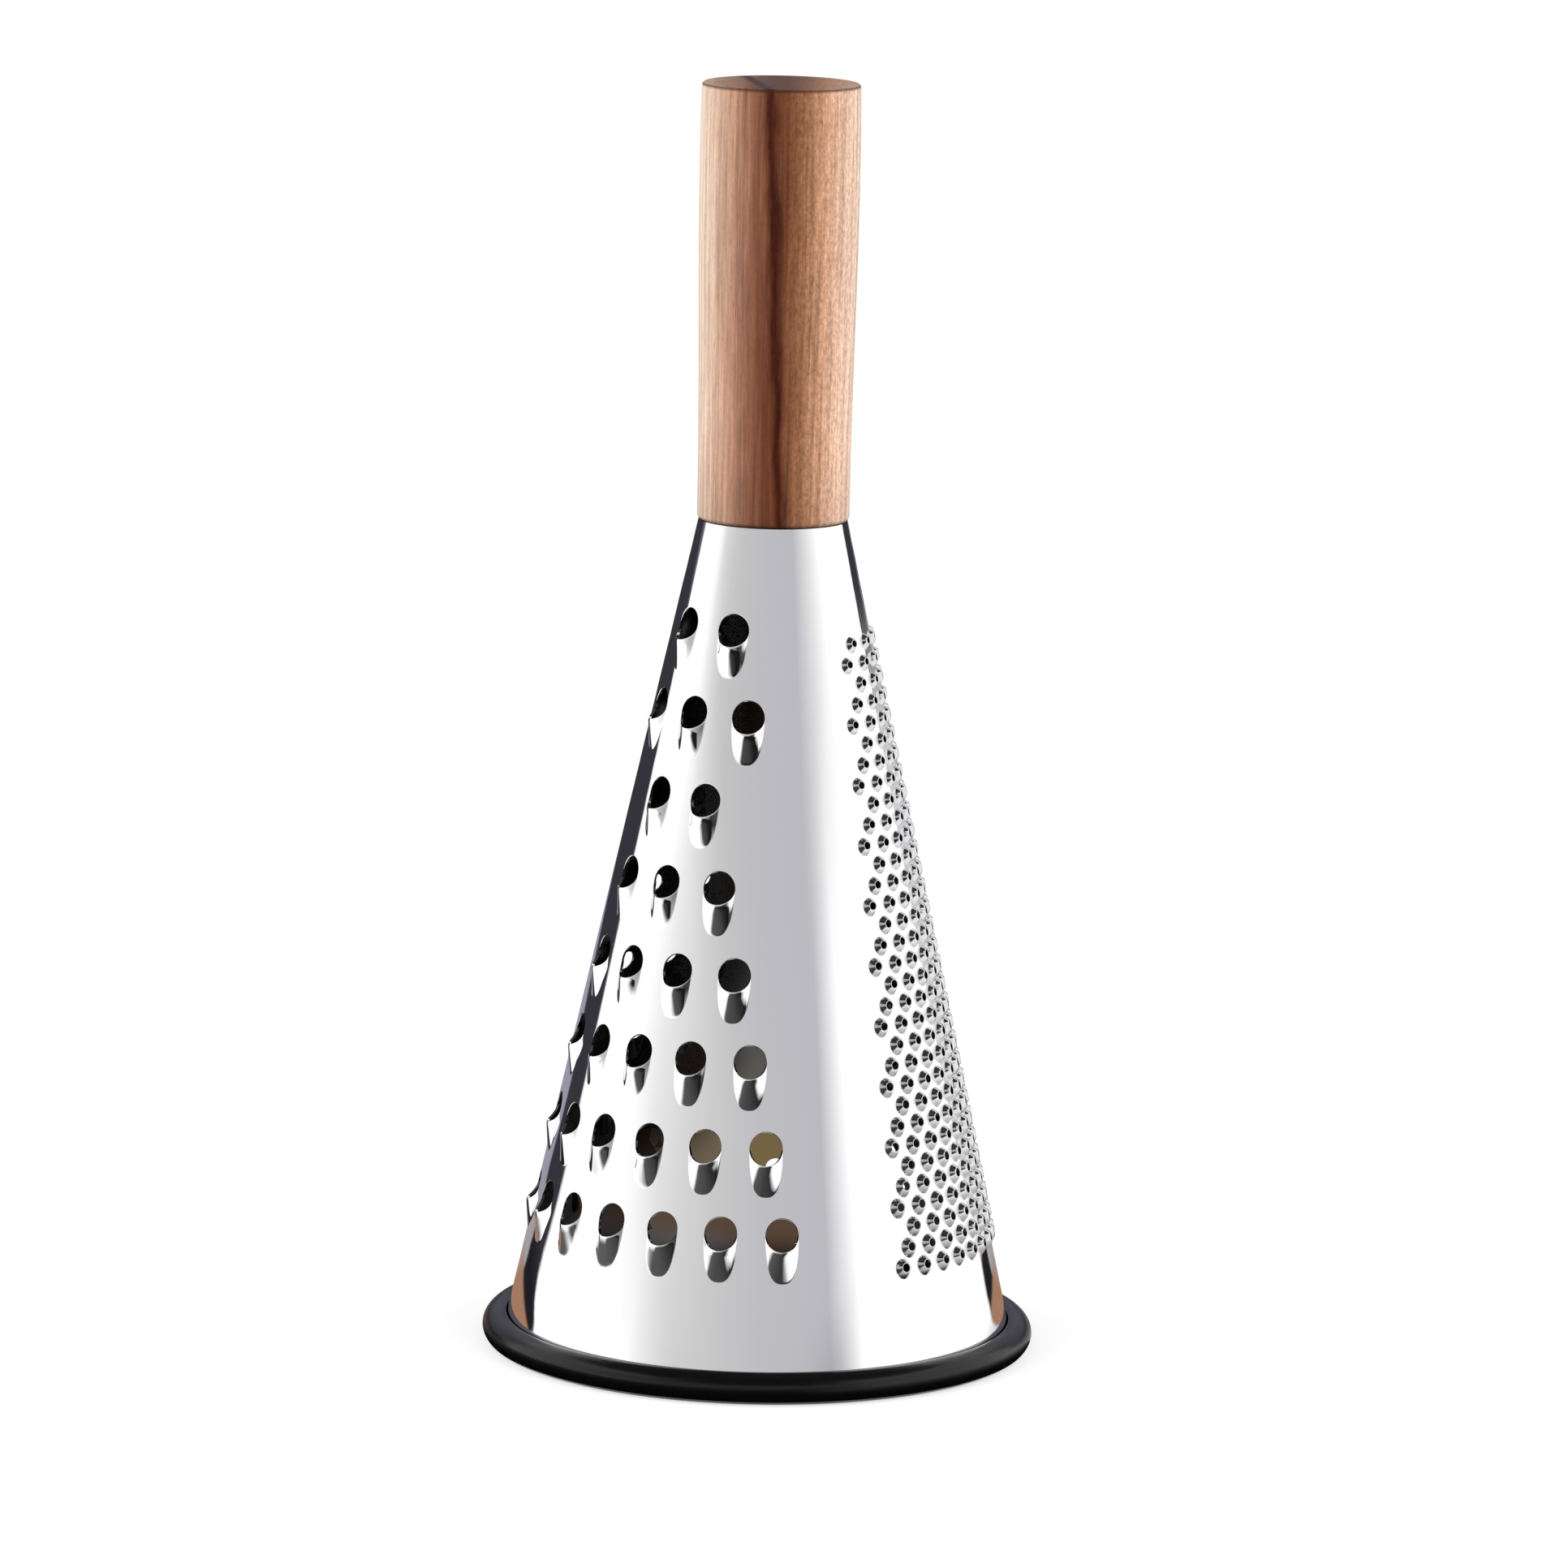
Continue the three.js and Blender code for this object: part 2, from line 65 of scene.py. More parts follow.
# Teeth of the three zones
COARSE = {
    "hole_radius": 3.35,
    "lip_height": 1.6,
    "scoop_length": 9.7,
    "pitch": 12.3,
    "row_pitch": 17.17,
    "first_row": 32.4,
    "top_margin": 18,
    "side_margin": 14.5,
}
MEDIUM = {
    "hole_radius": 2.2,
    "lip_height": 1.1,
    "scoop_length": 6.6,
    "pitch": 11.75,
    "row_pitch": 16.5,
    "first_row": 26,
    "top_margin": 18,
    "side_margin": 10,
}
FINE = {
    "pitch": 5.66,
    "row_pitch": 4.036,
    "first_row": 24.5,
    "top_margin": 22,
    "side_margin": 6.8,
}
SCOOP_FULLNESS = 2.7  # exponent of the scoop's outline: 2 is an ellipse, more is squarer
LIP_POWER = 2.3  # how the lip's height falls off to its sides: 2 is a parabola
SCOOP_ROW_POWER = 1.6  # more than 1 sets the rows of the ramp closer together at its foot
SCOOP_FILLET = 0.05  # share of the ramp that turns out of the sheet
LIP_END_STEPS = 4  # steps at each end of the lip's cut edge that lie in the hole's shade
LIP_FLAT = 0.07  # share of the ramp that flattens out at the lip
HOLE_ROLL = 0.22  # rounding of the hole's upper edge
HOLE_EDGE_NORMAL = (0.9, 0.44)  # how far its normals look to the hole's middle and out of the sheet
BURR_HALF_WIDTH = 1.9
BURR_RISE = 1.85  # from the burr's middle to the upper end of its foot
BURR_TAIL = 2.35  # and to the lower end
BURR_HEIGHT = 1.15
BURR_MOUTH = 0.95  # radius of the torn mouth
BURR_SLOPE_STEPS = (0, 0.1, 0.25, 0.45, 0.68, 0.9)  # shares of the way from the foot to the mouth
BURR_DOME = 1.3  # more than 1 makes the slope steeper at the foot than at the mouth
BURR_EDGE = 0.08  # thickness of the torn edge
BURR_SIZES = (0.82, 1)  # burrs near the narrow end are smaller
BURR_SIZE_SLANTS = (95, 190)

# How finely the sheet is divided
SCOOP_COLUMNS = 28
SCOOP_ROWS = 8
HOLE_STEPS = 18
BURR_STEPS = 16
RIM_STEPS = 288
TOP_STEPS = 144
PLAIN_SPACING = 2.4
PLAIN_ROW_SHARE = 0.87  # the rows of plain points lie closer than the points in a row
PLAIN_SHIFTS = (0.25, 0.75)  # of even and odd rows, in points
SCOOP_MARGIN = 0.4 * PLAIN_SPACING
BURR_MARGIN = 0.3

# Foot ring
RING_SECTION = 6.4
RING_FOOT_WIDTH = 1.8
RING_SET_OUT = 1.2
RING_STEPS = 256
RING_OUTSIDE_STEPS = 48
RING_INSIDE_STEPS = 40

# Handle
HANDLE_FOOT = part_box("handle")[0].z / MM
HANDLE_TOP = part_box("handle")[1].z / MM
HANDLE_FOOT_RADIUS = 15.35
HANDLE_WAIST_RADIUS = 15.6
HANDLE_SWELL_RADIUS = 16.05
HANDLE_TOP_RADIUS = 15.9
HANDLE_WAIST_HEIGHT = 30
HANDLE_SWELL_HEIGHT = 60
HANDLE_FOOT_ROUND = 1.0
HANDLE_TOP_ROUND = 0.7
HANDLE_STEPS = 160
HANDLE_ROWS = 41
HANDLE_TOP_ROWS = 9
HANDLE_ROUND_STEPS = 6

# End plate and screw
PLATE_THICKNESS = 0.8
PLATE_SKIRT = 5
PLATE_BEND = 1.0
PLATE_BEND_STEPS = 8
PLATE_STEPS = 128
SCREW_RADIUS = 2
SCREW_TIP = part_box("handle_screw")[1].z / MM
SCREW_POINT = 5
SCREW_HEAD_RADIUS = 4
SCREW_HEAD_HEIGHT = 2.6
SCREW_HEAD_WALL = 0.9
SCREW_HEAD_STEPS = 24
SCREW_PLAIN_LENGTH = 2  # above the plate
SCREW_PITCH = 1.8
SCREW_THREAD_DEPTH = 0.55
SCREW_THREAD_STEPS = 10  # rows in each pitch
SCREW_THREAD_SLOPE = 4  # more makes the ridge narrower
SCREW_RECESS_DEPTH = 1.5
SCREW_RECESS_REACH = 2.2
SCREW_RECESS_WIDTH = 0.75
SCREW_RECESS_TAPER = 0.6
SCREW_STEPS = 64
PILOT_SPARE_DEPTH = 3

HALF_ANGLE = math.atan((CONE_FOOT_RADIUS - CONE_TOP_RADIUS) / CONE_TOP_HEIGHT)
SIN = math.sin(HALF_ANGLE)
COS = math.cos(HALF_ANGLE)
APEX_HEIGHT = CONE_FOOT_RADIUS / math.tan(HALF_ANGLE)
FLANGE_TOP = RIM_HEIGHT + SHEET_THICKNESS


def outer_radius(height):
    return (APEX_HEIGHT - height) * math.tan(HALF_ANGLE)


def inner_radius(height):
    return outer_radius(height) - SHEET_THICKNESS / COS


# Mesh building: points in millimetres, faces, and a normal for every corner of every face


def vertex_normals(points, faces):
    """Area-weighted normals of the points over these faces alone."""
    normals = np.zeros((len(points), 3))
    for face in faces:
        spokes = points[face[1:]] - points[face[0]]
        normals[face] += np.cross(spokes[:-1], spokes[1:]).sum(axis=0)
    lengths = np.linalg.norm(normals, axis=1)
    return normals / np.maximum(lengths, 1e-12)[:, None]


def corner_normals(points, faces, fixed=None):
    """Normals face corner by face corner for one smooth group, with some points' normals given."""
    normals = vertex_normals(points, faces)
    for index, normal in (fixed or {}).items():
        normals[index] = normal
    return [normals[index] for face in faces for index in face]


def make_piece(name, points, faces, normals, material, slot, node):
    mesh = bpy.data.meshes.new(name)
    mesh.from_pydata((np.asarray(points) * MM).tolist(), [], [tuple(face) for face in faces])
    mesh.polygons.foreach_set("use_smooth", [True] * len(mesh.polygons))
    mesh.materials.append(material)
    mesh.normals_split_custom_set(np.asarray(normals).tolist())
    piece = bpy.data.objects.new(name, mesh)
    bpy.context.scene.collection.objects.link(piece)
    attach(piece, "root")
    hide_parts(node)
    return piece


def mark_faces(piece, name, values):
    """Keeps a number for every face under a name that the material reads."""
    layer = piece.data.attributes.new(name, "FLOAT", "FACE")
    layer.data.foreach_set("value", values)


def unique_corners(face):
    return list(dict.fromkeys(face))


def strip_faces(first, second, turned=False):
    """Faces between two rows of points, which may share points. Turned ones look the other way."""
    faces = []
    for k in range(len(first) - 1):
        corners = [first[k], first[k + 1], second[k + 1], second[k]]
        if turned:
            corners = [corners[0], *corners[:0:-1]]
        face = unique_corners(corners)
        if len(face) > 2:
            faces.append(face)
    return faces


def grid_faces(grid):
    """Faces between neighbouring columns of a grid whose end columns may shrink to one point."""
    return [face for pair in zip(grid, grid[1:]) for face in strip_faces(*pair, turned=True)]


def revolve(runs, steps):
    """Solid of revolution from runs of (radius, height) points that go round the section with the
    material on their left. A run is smooth, and runs meet at sharp edges."""
    turns = np.arange(steps) * (2 * math.pi / steps)
    outward = np.column_stack([np.sin(turns), -np.cos(turns), np.zeros(steps)])
    points = []
    faces = []
    normals = []
    rings = {}

    def ring(radius, height):
        """Points of a closed ring, which shrinks to one point on the axis."""
        key = (round(radius, 6), round(height, 6))
        if key not in rings:
            count = 1 if radius < 1e-9 else steps
            first = len(points)
            points.extend(outward[:count] * radius + (0, 0, height))
            rings[key] = [first + k % count for k in range(steps + 1)]
        return rings[key]

    for run in runs:
        line = np.array(run, float)
        along = np.gradient(line, axis=0)
        along /= np.linalg.norm(along, axis=1)[:, None]
        circles = [ring(*place) for place in line]
        normal_at = {}
        for circle, (out, rise) in zip(circles, along):
            for index, way in zip(circle, outward):
                normal_at[index] = way * rise - (0, 0, out)
        for pair in zip(circles, circles[1:]):
            strip = strip_faces(*pair)
            faces += strip
            normals += [normal_at[index] for face in strip for index in face]
    return np.array(points), faces, normals


def straight_runs(*places):
    """One run for each straight side from place to place."""
    return [list(side) for side in zip(places, places[1:])]


def arc(centre, radius, from_turn, to_turn, steps):
    turns = np.linspace(from_turn, to_turn, steps + 1)
    return [(centre[0] + radius * math.cos(t), centre[1] + radius * math.sin(t)) for t in turns]


# Cone: everything is laid out in the flat blank, as (u, v) with the apex at the origin and up the
# slope towards +v, and a lift off the outer surface, and is rolled up at the end


def slant_at(height, lift=0.0):
    return (APEX_HEIGHT + lift * SIN - height) / COS


def blank_angle(azimuth):
    return math.radians(azimuth) * SIN


def flat_point(slant, angle):
    return np.array([slant * math.sin(angle), -slant * math.cos(angle)])


def tooth_directions(angle):
    """Directions across and up a tooth in the flat blank."""
    return np.array([math.cos(angle), math.sin(angle)]), np.array([-math.sin(angle), math.cos(angle)])


def flat_from_ring(radius, height, angle):
    """Flat place and lift of a point given by its distance from the axis and its height."""
    depth = APEX_HEIGHT - height
    slant = radius * SIN + depth * COS
    return [*flat_point(slant, angle), radius * COS - depth * SIN]


def rolled(flat, directions=None):
    """Points (u, v, lift) rolled up into the cone, or directions at those points turned with them."""
    slant = np.hypot(flat[:, 0], flat[:, 1])
    angle = np.arctan2(flat[:, 0], -flat[:, 1])
    azimuth = angle / SIN
    side, front = np.sin(azimuth), -np.cos(azimuth)
    if directions is None:
        radius = slant * SIN + flat[:, 2] * COS
        height = APEX_HEIGHT - slant * COS + flat[:, 2] * SIN
        return np.column_stack([radius * side, radius * front, height])
    down = directions[:, 0] * np.sin(angle) - directions[:, 1] * np.cos(angle)
    across = directions[:, 0] * np.cos(angle) + directions[:, 1] * np.sin(angle)
    out = directions[:, 2]
    radial = down * SIN + out * COS
    return np.column_stack([
        radial * side - across * front,
        radial * front + across * side,
        out * SIN - down * COS,
    ])


def zone_centres(zone, from_azimuth, to_azimuth):
    """Slant and angle of every tooth of a zone: every other row is set off by half a pitch."""
    middle = blank_angle((from_azimuth + to_azimuth) / 2)
    half = blank_angle((to_azimuth - from_azimuth) / 2)
    last_height = CONE_TOP_HEIGHT - zone["top_margin"]
    rows = int((last_height - zone["first_row"]) / (zone["row_pitch"] * COS)) + 1
    centres = []
    for row in range(rows):
        slant = slant_at(zone["first_row"] + row * zone["row_pitch"] * COS)
        reach = (half * slant - zone["side_margin"]) / zone["pitch"]
        set_off = 0.5 * (row % 2)
        last = math.floor(reach - set_off) + set_off
        places = np.arange(-last, last + 0.5)
        centres += [(slant, middle + place * zone["pitch"] / slant) for place in places]
    return centres


# The sides that a face of the cone can count to, by how far its colour is darkened: partly a duller
# finish, partly painted shade
OUTSIDE = 0.0
# burr slopes: partly duller torn metal, partly painted shade
TORN_AND_SHADED = 0.24
# hole walls, lip ends and burr mouths: painted shade, nearly as dark as the inside
CRATER_SHADE = 0.95
# inside faces and the back wall that the holes show: a duller finish and painted shade
INSIDE_SHADE = 1.0
INSIDE_BACK_SHADE = 0.88
BACK_AZIMUTH = 151  # beyond this the inside is the back wall that the front holes show


class Patch:
    """One tooth: points across, up and out from its centre, faces with corner normals and their share of
    painted shade and duller finish, and the outer and inner outlines that the plain sheet joins on to."""

    def __init__(self):
        self.points = []
        self.faces = []
        self.normals = []
        self.sides = []
        self.outline = []
        self.inner_outline = []

    def add(self, across, up, out):
        self.points.append((across, up, out))
        return len(self.points) - 1

    def add_faces(self, faces, fixed, side=OUTSIDE):
        self.normals += corner_normals(np.array(self.points), faces, fixed)
        self.faces += faces
        self.sides += [side] * len(faces)


def half_turn(steps):
    """Cosines and sines of the steps of half a turn."""
    return [(math.cos(math.pi * k / steps), math.sin(math.pi * k / steps)) for k in range(steps + 1)]


def framed(left, columns, right):
    """Columns with one more at each end that is a single point."""
    count = len(columns[0])
    return [[left] * count, *columns, [right] * count]


def scoop_patch(zone):
    """Round hole whose lower edge stands out as a lip at the top of a ramped scoop."""
    radius, height, length = zone["hole_radius"], zone["lip_height"], zone["scoop_length"]
    power = 2 / SCOOP_FULLNESS
    patch = Patch()

    # Upper half of the hole: outline on the sheet, rounded edge, inner edge
    hole = []
    inner_hole = []
    edge_normals = {}
    inwards, outwards = HOLE_EDGE_NORMAL
    for across, up in half_turn(HOLE_STEPS):
        wide = radius + HOLE_ROLL * up
        hole.append(patch.add(wide * across, wide * up, 0))
        inner_hole.append(patch.add(radius * across, radius * up, -SHEET_THICKNESS))
    edge = [hole[0]]
    for across, up in half_turn(HOLE_STEPS)[1:-1]:
        edge.append(patch.add(radius * across, radius * up, -HOLE_ROLL * up))
        edge_normals[edge[-1]] = (-inwards * across, -inwards * up, outwards)
    edge.append(hole[-1])

    # Scoop: a column of points for every step of its outline, from the sheet up to the lip
    columns = []
    for across, down in half_turn(SCOOP_COLUMNS)[1:-1]:
        foot = np.array([-radius * math.copysign(abs(across) ** power, across), -length * down**power])
        lip = np.array([-radius * across, -radius * down])
        rise = height * down**LIP_POWER
        column = []
        for j in range(SCOOP_ROWS + 1):
            share = (j / SCOOP_ROWS) ** SCOOP_ROW_POWER
            bent = math.hypot(share, SCOOP_FILLET) - SCOOP_FILLET
            bent /= math.hypot(1, SCOOP_FILLET) - SCOOP_FILLET
            place = foot + (lip - foot) * share * (1 - LIP_FLAT)
            column.append(patch.add(place[0], place[1], rise * bent))
        column.append(patch.add(lip[0], lip[1], rise))
        columns.append(column)
    grid = framed(hole[-1], columns, hole[0])
    outer_faces = grid_faces(grid)
    outer_points = np.array(patch.points)
    outer_normals = vertex_normals(outer_points, outer_faces)
    for column in columns:
        outer_normals[column[0]] = (0, 0, 1)

    inner_columns = []
    for column in columns:
        inner = outer_points[column] - SHEET_THICKNESS * outer_normals[column]
        inner_columns.append([patch.add(*point) for point in inner])
    inner_grid = framed(inner_hole[-1], inner_columns, inner_hole[0])
    inner_faces = [face[::-1] for face in grid_faces(inner_grid)]

    patch.outline = hole + [column[0] for column in columns]
    patch.inner_outline = inner_hole + [column[0] for column in inner_columns]
    flat_outline = {index: (0, 0, 1) for index in patch.outline}
    flat_inner = {index: (0, 0, -1) for index in patch.inner_outline}
    patch.add_faces(outer_faces, flat_outline)
    patch.add_faces(inner_faces, flat_inner, INSIDE_SHADE)
    patch.add_faces(strip_faces(hole, edge), {**flat_outline, **edge_normals})
    # the hole's cut wall takes painted shade
    patch.add_faces(strip_faces(edge, inner_hole), None, CRATER_SHADE)
    cut = strip_faces([column[-1] for column in grid], [column[-1] for column in inner_grid])
    patch.add_faces(cut[LIP_END_STEPS:-LIP_END_STEPS], None)
    patch.add_faces(cut[:LIP_END_STEPS] + cut[-LIP_END_STEPS:], None, CRATER_SHADE)
    return patch


def burr_patch(size):
    """Small crater that a point has torn open from inside, with a longer slope below."""
    patch = Patch()
    slopes = [[] for _ in BURR_SLOPE_STEPS]
    rim = []
    throat = []
    inner_foot = []
    top = BURR_HEIGHT * size
    for k in range(BURR_STEPS):
        turn = 2 * math.pi * k / BURR_STEPS
        across, up = math.cos(turn), math.sin(turn)
        length = BURR_RISE if up > 0 else BURR_TAIL
        foot = np.array([BURR_HALF_WIDTH * across, length * up]) * size
        mouth = np.array([across, up]) * BURR_MOUTH * size
        edge = np.array([across, up]) * BURR_EDGE
        for ring, share in zip(slopes, BURR_SLOPE_STEPS):
            height = top * (1 - (1 - share) ** BURR_DOME)
            ring.append(patch.add(*(foot + share * (mouth - foot)), height))
        rim.append(patch.add(*(mouth - edge / 2), top))
        throat.append(patch.add(*(mouth - edge), top - BURR_EDGE))
        inner_foot.append(patch.add(*foot, -SHEET_THICKNESS))
    patch.outline = slopes[0]
    patch.inner_outline = inner_foot
    closed = [ring + ring[:1] for ring in (*slopes, rim, throat, inner_foot)]
    outside = [face for a, b in zip(closed[:-2], closed[1:-1]) for face in strip_faces(a, b)]
    # the burr's slopes are partly duller metal, partly painted shade
    patch.add_faces(outside, {index: (0, 0, 1) for index in slopes[0]}, TORN_AND_SHADED)
    crater = strip_faces(closed[-2], closed[-1])
    patch.add_faces(crater, {index: (0, 0, -1) for index in inner_foot}, CRATER_SHADE)
    return patch


class Sheet:
    """The whole skin of the cone in the flat blank."""

    def __init__(self):
        self.points = []
        self.count = 0
        self.faces = []
        self.normals = []
        self.sides = []
        self.flat = []
        self.pairs = []
        self.loops = []

    def add_points(self, points):
        first = self.count
        self.points.append(np.asarray(points, float).reshape(-1, 3))
        self.count += len(self.points[-1])
        return list(range(first, self.count))

    def add_tooth(self, patch, slant, angle):
        across, up = tooth_directions(angle)
        local = np.array(patch.points)
        flat = flat_point(slant, angle) + np.outer(local[:, 0], across) + np.outer(local[:, 1], up)
        ids = self.add_points(np.column_stack([flat, local[:, 2]]))
        base = ids[0]
        self.faces += [[base + index for index in face] for face in patch.faces]
        self.sides += patch.sides
        normals = np.array(patch.normals)
        turned = np.outer(normals[:, 0], across) + np.outer(normals[:, 1], up)
        self.normals.append(np.column_stack([turned, normals[:, 2]]))
        self.loops.append(self.join(flat[patch.outline], patch.outline, patch.inner_outline, base))

    def join(self, flat, outer, inner, base=0):
        """Points of the plain sheet, each with the outer and inner vertex that it stands for."""
        first = len(self.flat)
        self.flat += [Vector(place) for place in flat]
        self.pairs += [(base + a, base + b) for a, b in zip(outer, inner)]
        return list(range(first, len(self.flat)))

    def add_plain(self, places, inner_places=None):
        """Plain points, with their inner places given where these aren't straight below."""
        places = np.asarray(places, float).reshape(-1, 2)
        outer = self.add_points(np.column_stack([places, np.zeros(len(places))]))
        if inner_places is None:
            inner_places = np.column_stack([places, np.full(len(places), -SHEET_THICKNESS)])
        inner = self.add_points(inner_places)
        return self.join(places, outer, inner)

    def add_faces(self, faces, normals, side=OUTSIDE):
        self.faces += faces
        self.sides += [side] * len(faces)
        self.normals.append(np.array(normals, float).reshape(-1, 3))


SEAM_ANGLES = (blank_angle(STRIP_FINE_MEDIUM - 360), blank_angle(STRIP_FINE_MEDIUM))


def add_border(sheet):
    """Rim, top and seam of the blank. The seam's two sides roll up on to each other."""
    start, end = SEAM_ANGLES
    rim_slant, top_slant = slant_at(FLANGE_TOP), slant_at(CONE_TOP_HEIGHT)
    rim_angles = np.linspace(start, end, RIM_STEPS + 1)
    top_angles = np.linspace(start, end, TOP_STEPS + 1)
    seam_steps = int((rim_slant - top_slant) / PLAIN_SPACING)
    seam_slants = np.linspace(rim_slant, top_slant, seam_steps + 1)[1:-1]

    def ring(slant, height, angles):
        inner_slant = slant_at(height, -SHEET_THICKNESS)
        inner = [[*flat_point(inner_slant, angle), -SHEET_THICKNESS] for angle in angles[:-1]]
        ids = sheet.add_plain([flat_point(slant, angle) for angle in angles[:-1]], inner)
        outer, inner = sheet.pairs[ids[0]]
        return ids + sheet.join([flat_point(slant, angles[-1])], [outer], [inner])

    rim = ring(rim_slant, RIM_HEIGHT, rim_angles)
    top = ring(top_slant, CONE_TOP_HEIGHT, top_angles)
    left = sheet.add_plain([flat_point(slant, start) for slant in seam_slants])
    outer, inner = zip(*(sheet.pairs[index] for index in left))
    right = sheet.join([flat_point(slant, end) for slant in seam_slants], outer, inner)
    sheet.loops.insert(0, rim + right + top[::-1] + left[::-1])
    return rim, top, rim_angles


def add_filler(sheet, scoops, burrs):
    """Points of the plain sheet in rows, kept clear of the teeth."""
    start, end = SEAM_ANGLES
    rim_slant, top_slant = slant_at(FLANGE_TOP), slant_at(CONE_TOP_HEIGHT)
    rows = int((rim_slant - top_slant) / (PLAIN_ROW_SHARE * PLAIN_SPACING))
    slants = np.linspace(rim_slant, top_slant, rows + 1)[1:-1]
    places = []
    for row, slant in enumerate(slants):
        count = int((end - start) * slant / PLAIN_SPACING)
        angles = start + (np.arange(count) + PLAIN_SHIFTS[row % 2]) * (end - start) / count
        places += [flat_point(slant, angle) for angle in angles]
    places = np.array(places)
    free = np.ones(len(places), bool)
    for slant, angle, zone in scoops:
        offset = places - flat_point(slant, angle)
        across, up = (offset @ direction for direction in tooth_directions(angle))
        above = zone["hole_radius"] + SCOOP_MARGIN
        below = -zone["scoop_length"] - SCOOP_MARGIN
        beside = np.abs(across) < above
        between = (up < above) & (up > below)
        free &= ~(beside & between)
    for slant, angle in burrs:
        offset = places - flat_point(slant, angle)
        free &= np.hypot(offset[:, 0], offset[:, 1]) > BURR_TAIL + BURR_MARGIN
    sheet.add_plain(places[free])


def add_plain_faces(sheet):
    """Triangles of the plain sheet between the teeth, outside and inside."""
    result = delaunay_2d_cdt(sheet.flat, [], sheet.loops, 1, 1e-6, True)
    triangles, origins, owners = result[2], result[3], result[5]
    outer = []
    inner = []
    for triangle, loops in zip(triangles, owners):
        if list(loops) != [0]:
            continue
        a, b, c = (sheet.pairs[origins[index][0]] for index in triangle)
        outer.append([a[0], b[0], c[0]])
        inner.append([a[1], c[1], b[1]])
    sheet.add_faces(outer, [(0, 0, 1)] * 3 * len(outer))
    # the inner faces are darkened as painted shade
    sheet.add_faces(inner, [(0, 0, -1)] * 3 * len(inner), INSIDE_SHADE)


def add_ends(sheet, rim, top, rim_angles):
    """Turned-out flange at the rim and the cut edge at the small end."""
    edge_radius = outer_radius(FLANGE_TOP) + FLANGE_WIDTH
    upper = sheet.add_points([flat_from_ring(edge_radius, FLANGE_TOP, a) for a in rim_angles[:-1]])
    lower = sheet.add_points([flat_from_ring(edge_radius, RIM_HEIGHT, a) for a in rim_angles[:-1]])
    upper.append(upper[0])
    lower.append(lower[0])
    rim_outer, rim_inner = zip(*(sheet.pairs[index] for index in rim))
    top_outer, top_inner = zip(*(sheet.pairs[index] for index in top))
    upwards = (0, COS, SIN)
    outwards = (0, -SIN, COS)
    downwards = (0, -COS, -SIN)
    for first, second, normal in (
        (upper, rim_outer, upwards),
        (lower, upper, outwards),
        (rim_inner, lower, downwards),
        (top_outer, top_inner, upwards),
    ):
        faces = strip_faces(first, second)
        sheet.add_faces(faces, [normal] * 4 * len(faces))


def cone_mesh():
    sheet = Sheet()
    coarse = zone_centres(COARSE, STRIP_MEDIUM_COARSE - 360, STRIP_COARSE_FINE)
    fine = zone_centres(FINE, STRIP_COARSE_FINE, STRIP_FINE_MEDIUM)
    medium = zone_centres(MEDIUM, STRIP_FINE_MEDIUM - 360, STRIP_MEDIUM_COARSE - 360)
    for zone, centres in ((COARSE, coarse), (MEDIUM, medium)):
        patch = scoop_patch(zone)
        for slant, angle in centres:
            sheet.add_tooth(patch, slant, angle)
    for slant, angle in fine:
        size = np.interp(slant, BURR_SIZE_SLANTS, BURR_SIZES)
        sheet.add_tooth(burr_patch(size), slant, angle)
    rim, top, rim_angles = add_border(sheet)
    scoops = [(*centre, COARSE) for centre in coarse] + [(*centre, MEDIUM) for centre in medium]
    add_filler(sheet, scoops, fine)
    add_plain_faces(sheet)
    add_ends(sheet, rim, top, rim_angles)

    flat = np.concatenate(sheet.points)
    normals = np.concatenate(sheet.normals)
    corners = [index for face in sheet.faces for index in face]
    points = rolled(flat)
    sides = []
    for face, side in zip(sheet.faces, sheet.sides):
        azimuth = math.degrees(math.atan2(points[face[0], 0], -points[face[0], 1]))
        at_back = side == INSIDE_SHADE and abs(azimuth) > BACK_AZIMUTH
        sides.append(INSIDE_BACK_SHADE if at_back else side)
    return points, sheet.faces, rolled(flat[corners], normals), sides


# Foot ring


def ring_runs():
    """Round rubber section, flat underneath, with a slot that takes the sheet and its flange."""
    round_radius = RING_SECTION / 2
    middle_radius = outer_radius(FLANGE_TOP) + RING_SET_OUT
    middle_height = math.sqrt(round_radius**2 - (RING_FOOT_WIDTH / 2) ** 2)
    lean = math.tan(HALF_ANGLE)

    def slot_mouth(radius_at_floor):
        offset = radius_at_floor - lean * middle_height - middle_radius
        half = offset * lean
        inside = half**2 + (1 + lean**2) * (round_radius**2 - offset**2)
        rise = (half + math.sqrt(inside)) / (1 + lean**2)
        return math.atan2(rise, offset - lean * rise)

    slot_outer = outer_radius(0) + CLEARANCE
    slot_inner = inner_radius(0) - CLEARANCE
    flange_edge = outer_radius(FLANGE_TOP) + FLANGE_WIDTH + CLEARANCE
    ceiling = FLANGE_TOP + CLEARANCE
    middle = (middle_radius, middle_height)
    foot_turn = math.asin(middle_height / round_radius)
    outside = arc(middle, round_radius, -foot_turn, slot_mouth(slot_outer), RING_OUTSIDE_STEPS)
    inside = arc(middle, round_radius, slot_mouth(slot_inner), math.pi + foot_turn, RING_INSIDE_STEPS)
    return [
        outside,
        *straight_runs(
            outside[-1],
            (slot_outer - lean * ceiling, ceiling),
            (flange_edge, ceiling),
            (flange_edge, RIM_HEIGHT),
            (slot_inner - lean * RIM_HEIGHT, RIM_HEIGHT),
            inside[0],
        ),
        inside,
        [inside[-1], outside[0]],
    ]


# Handle


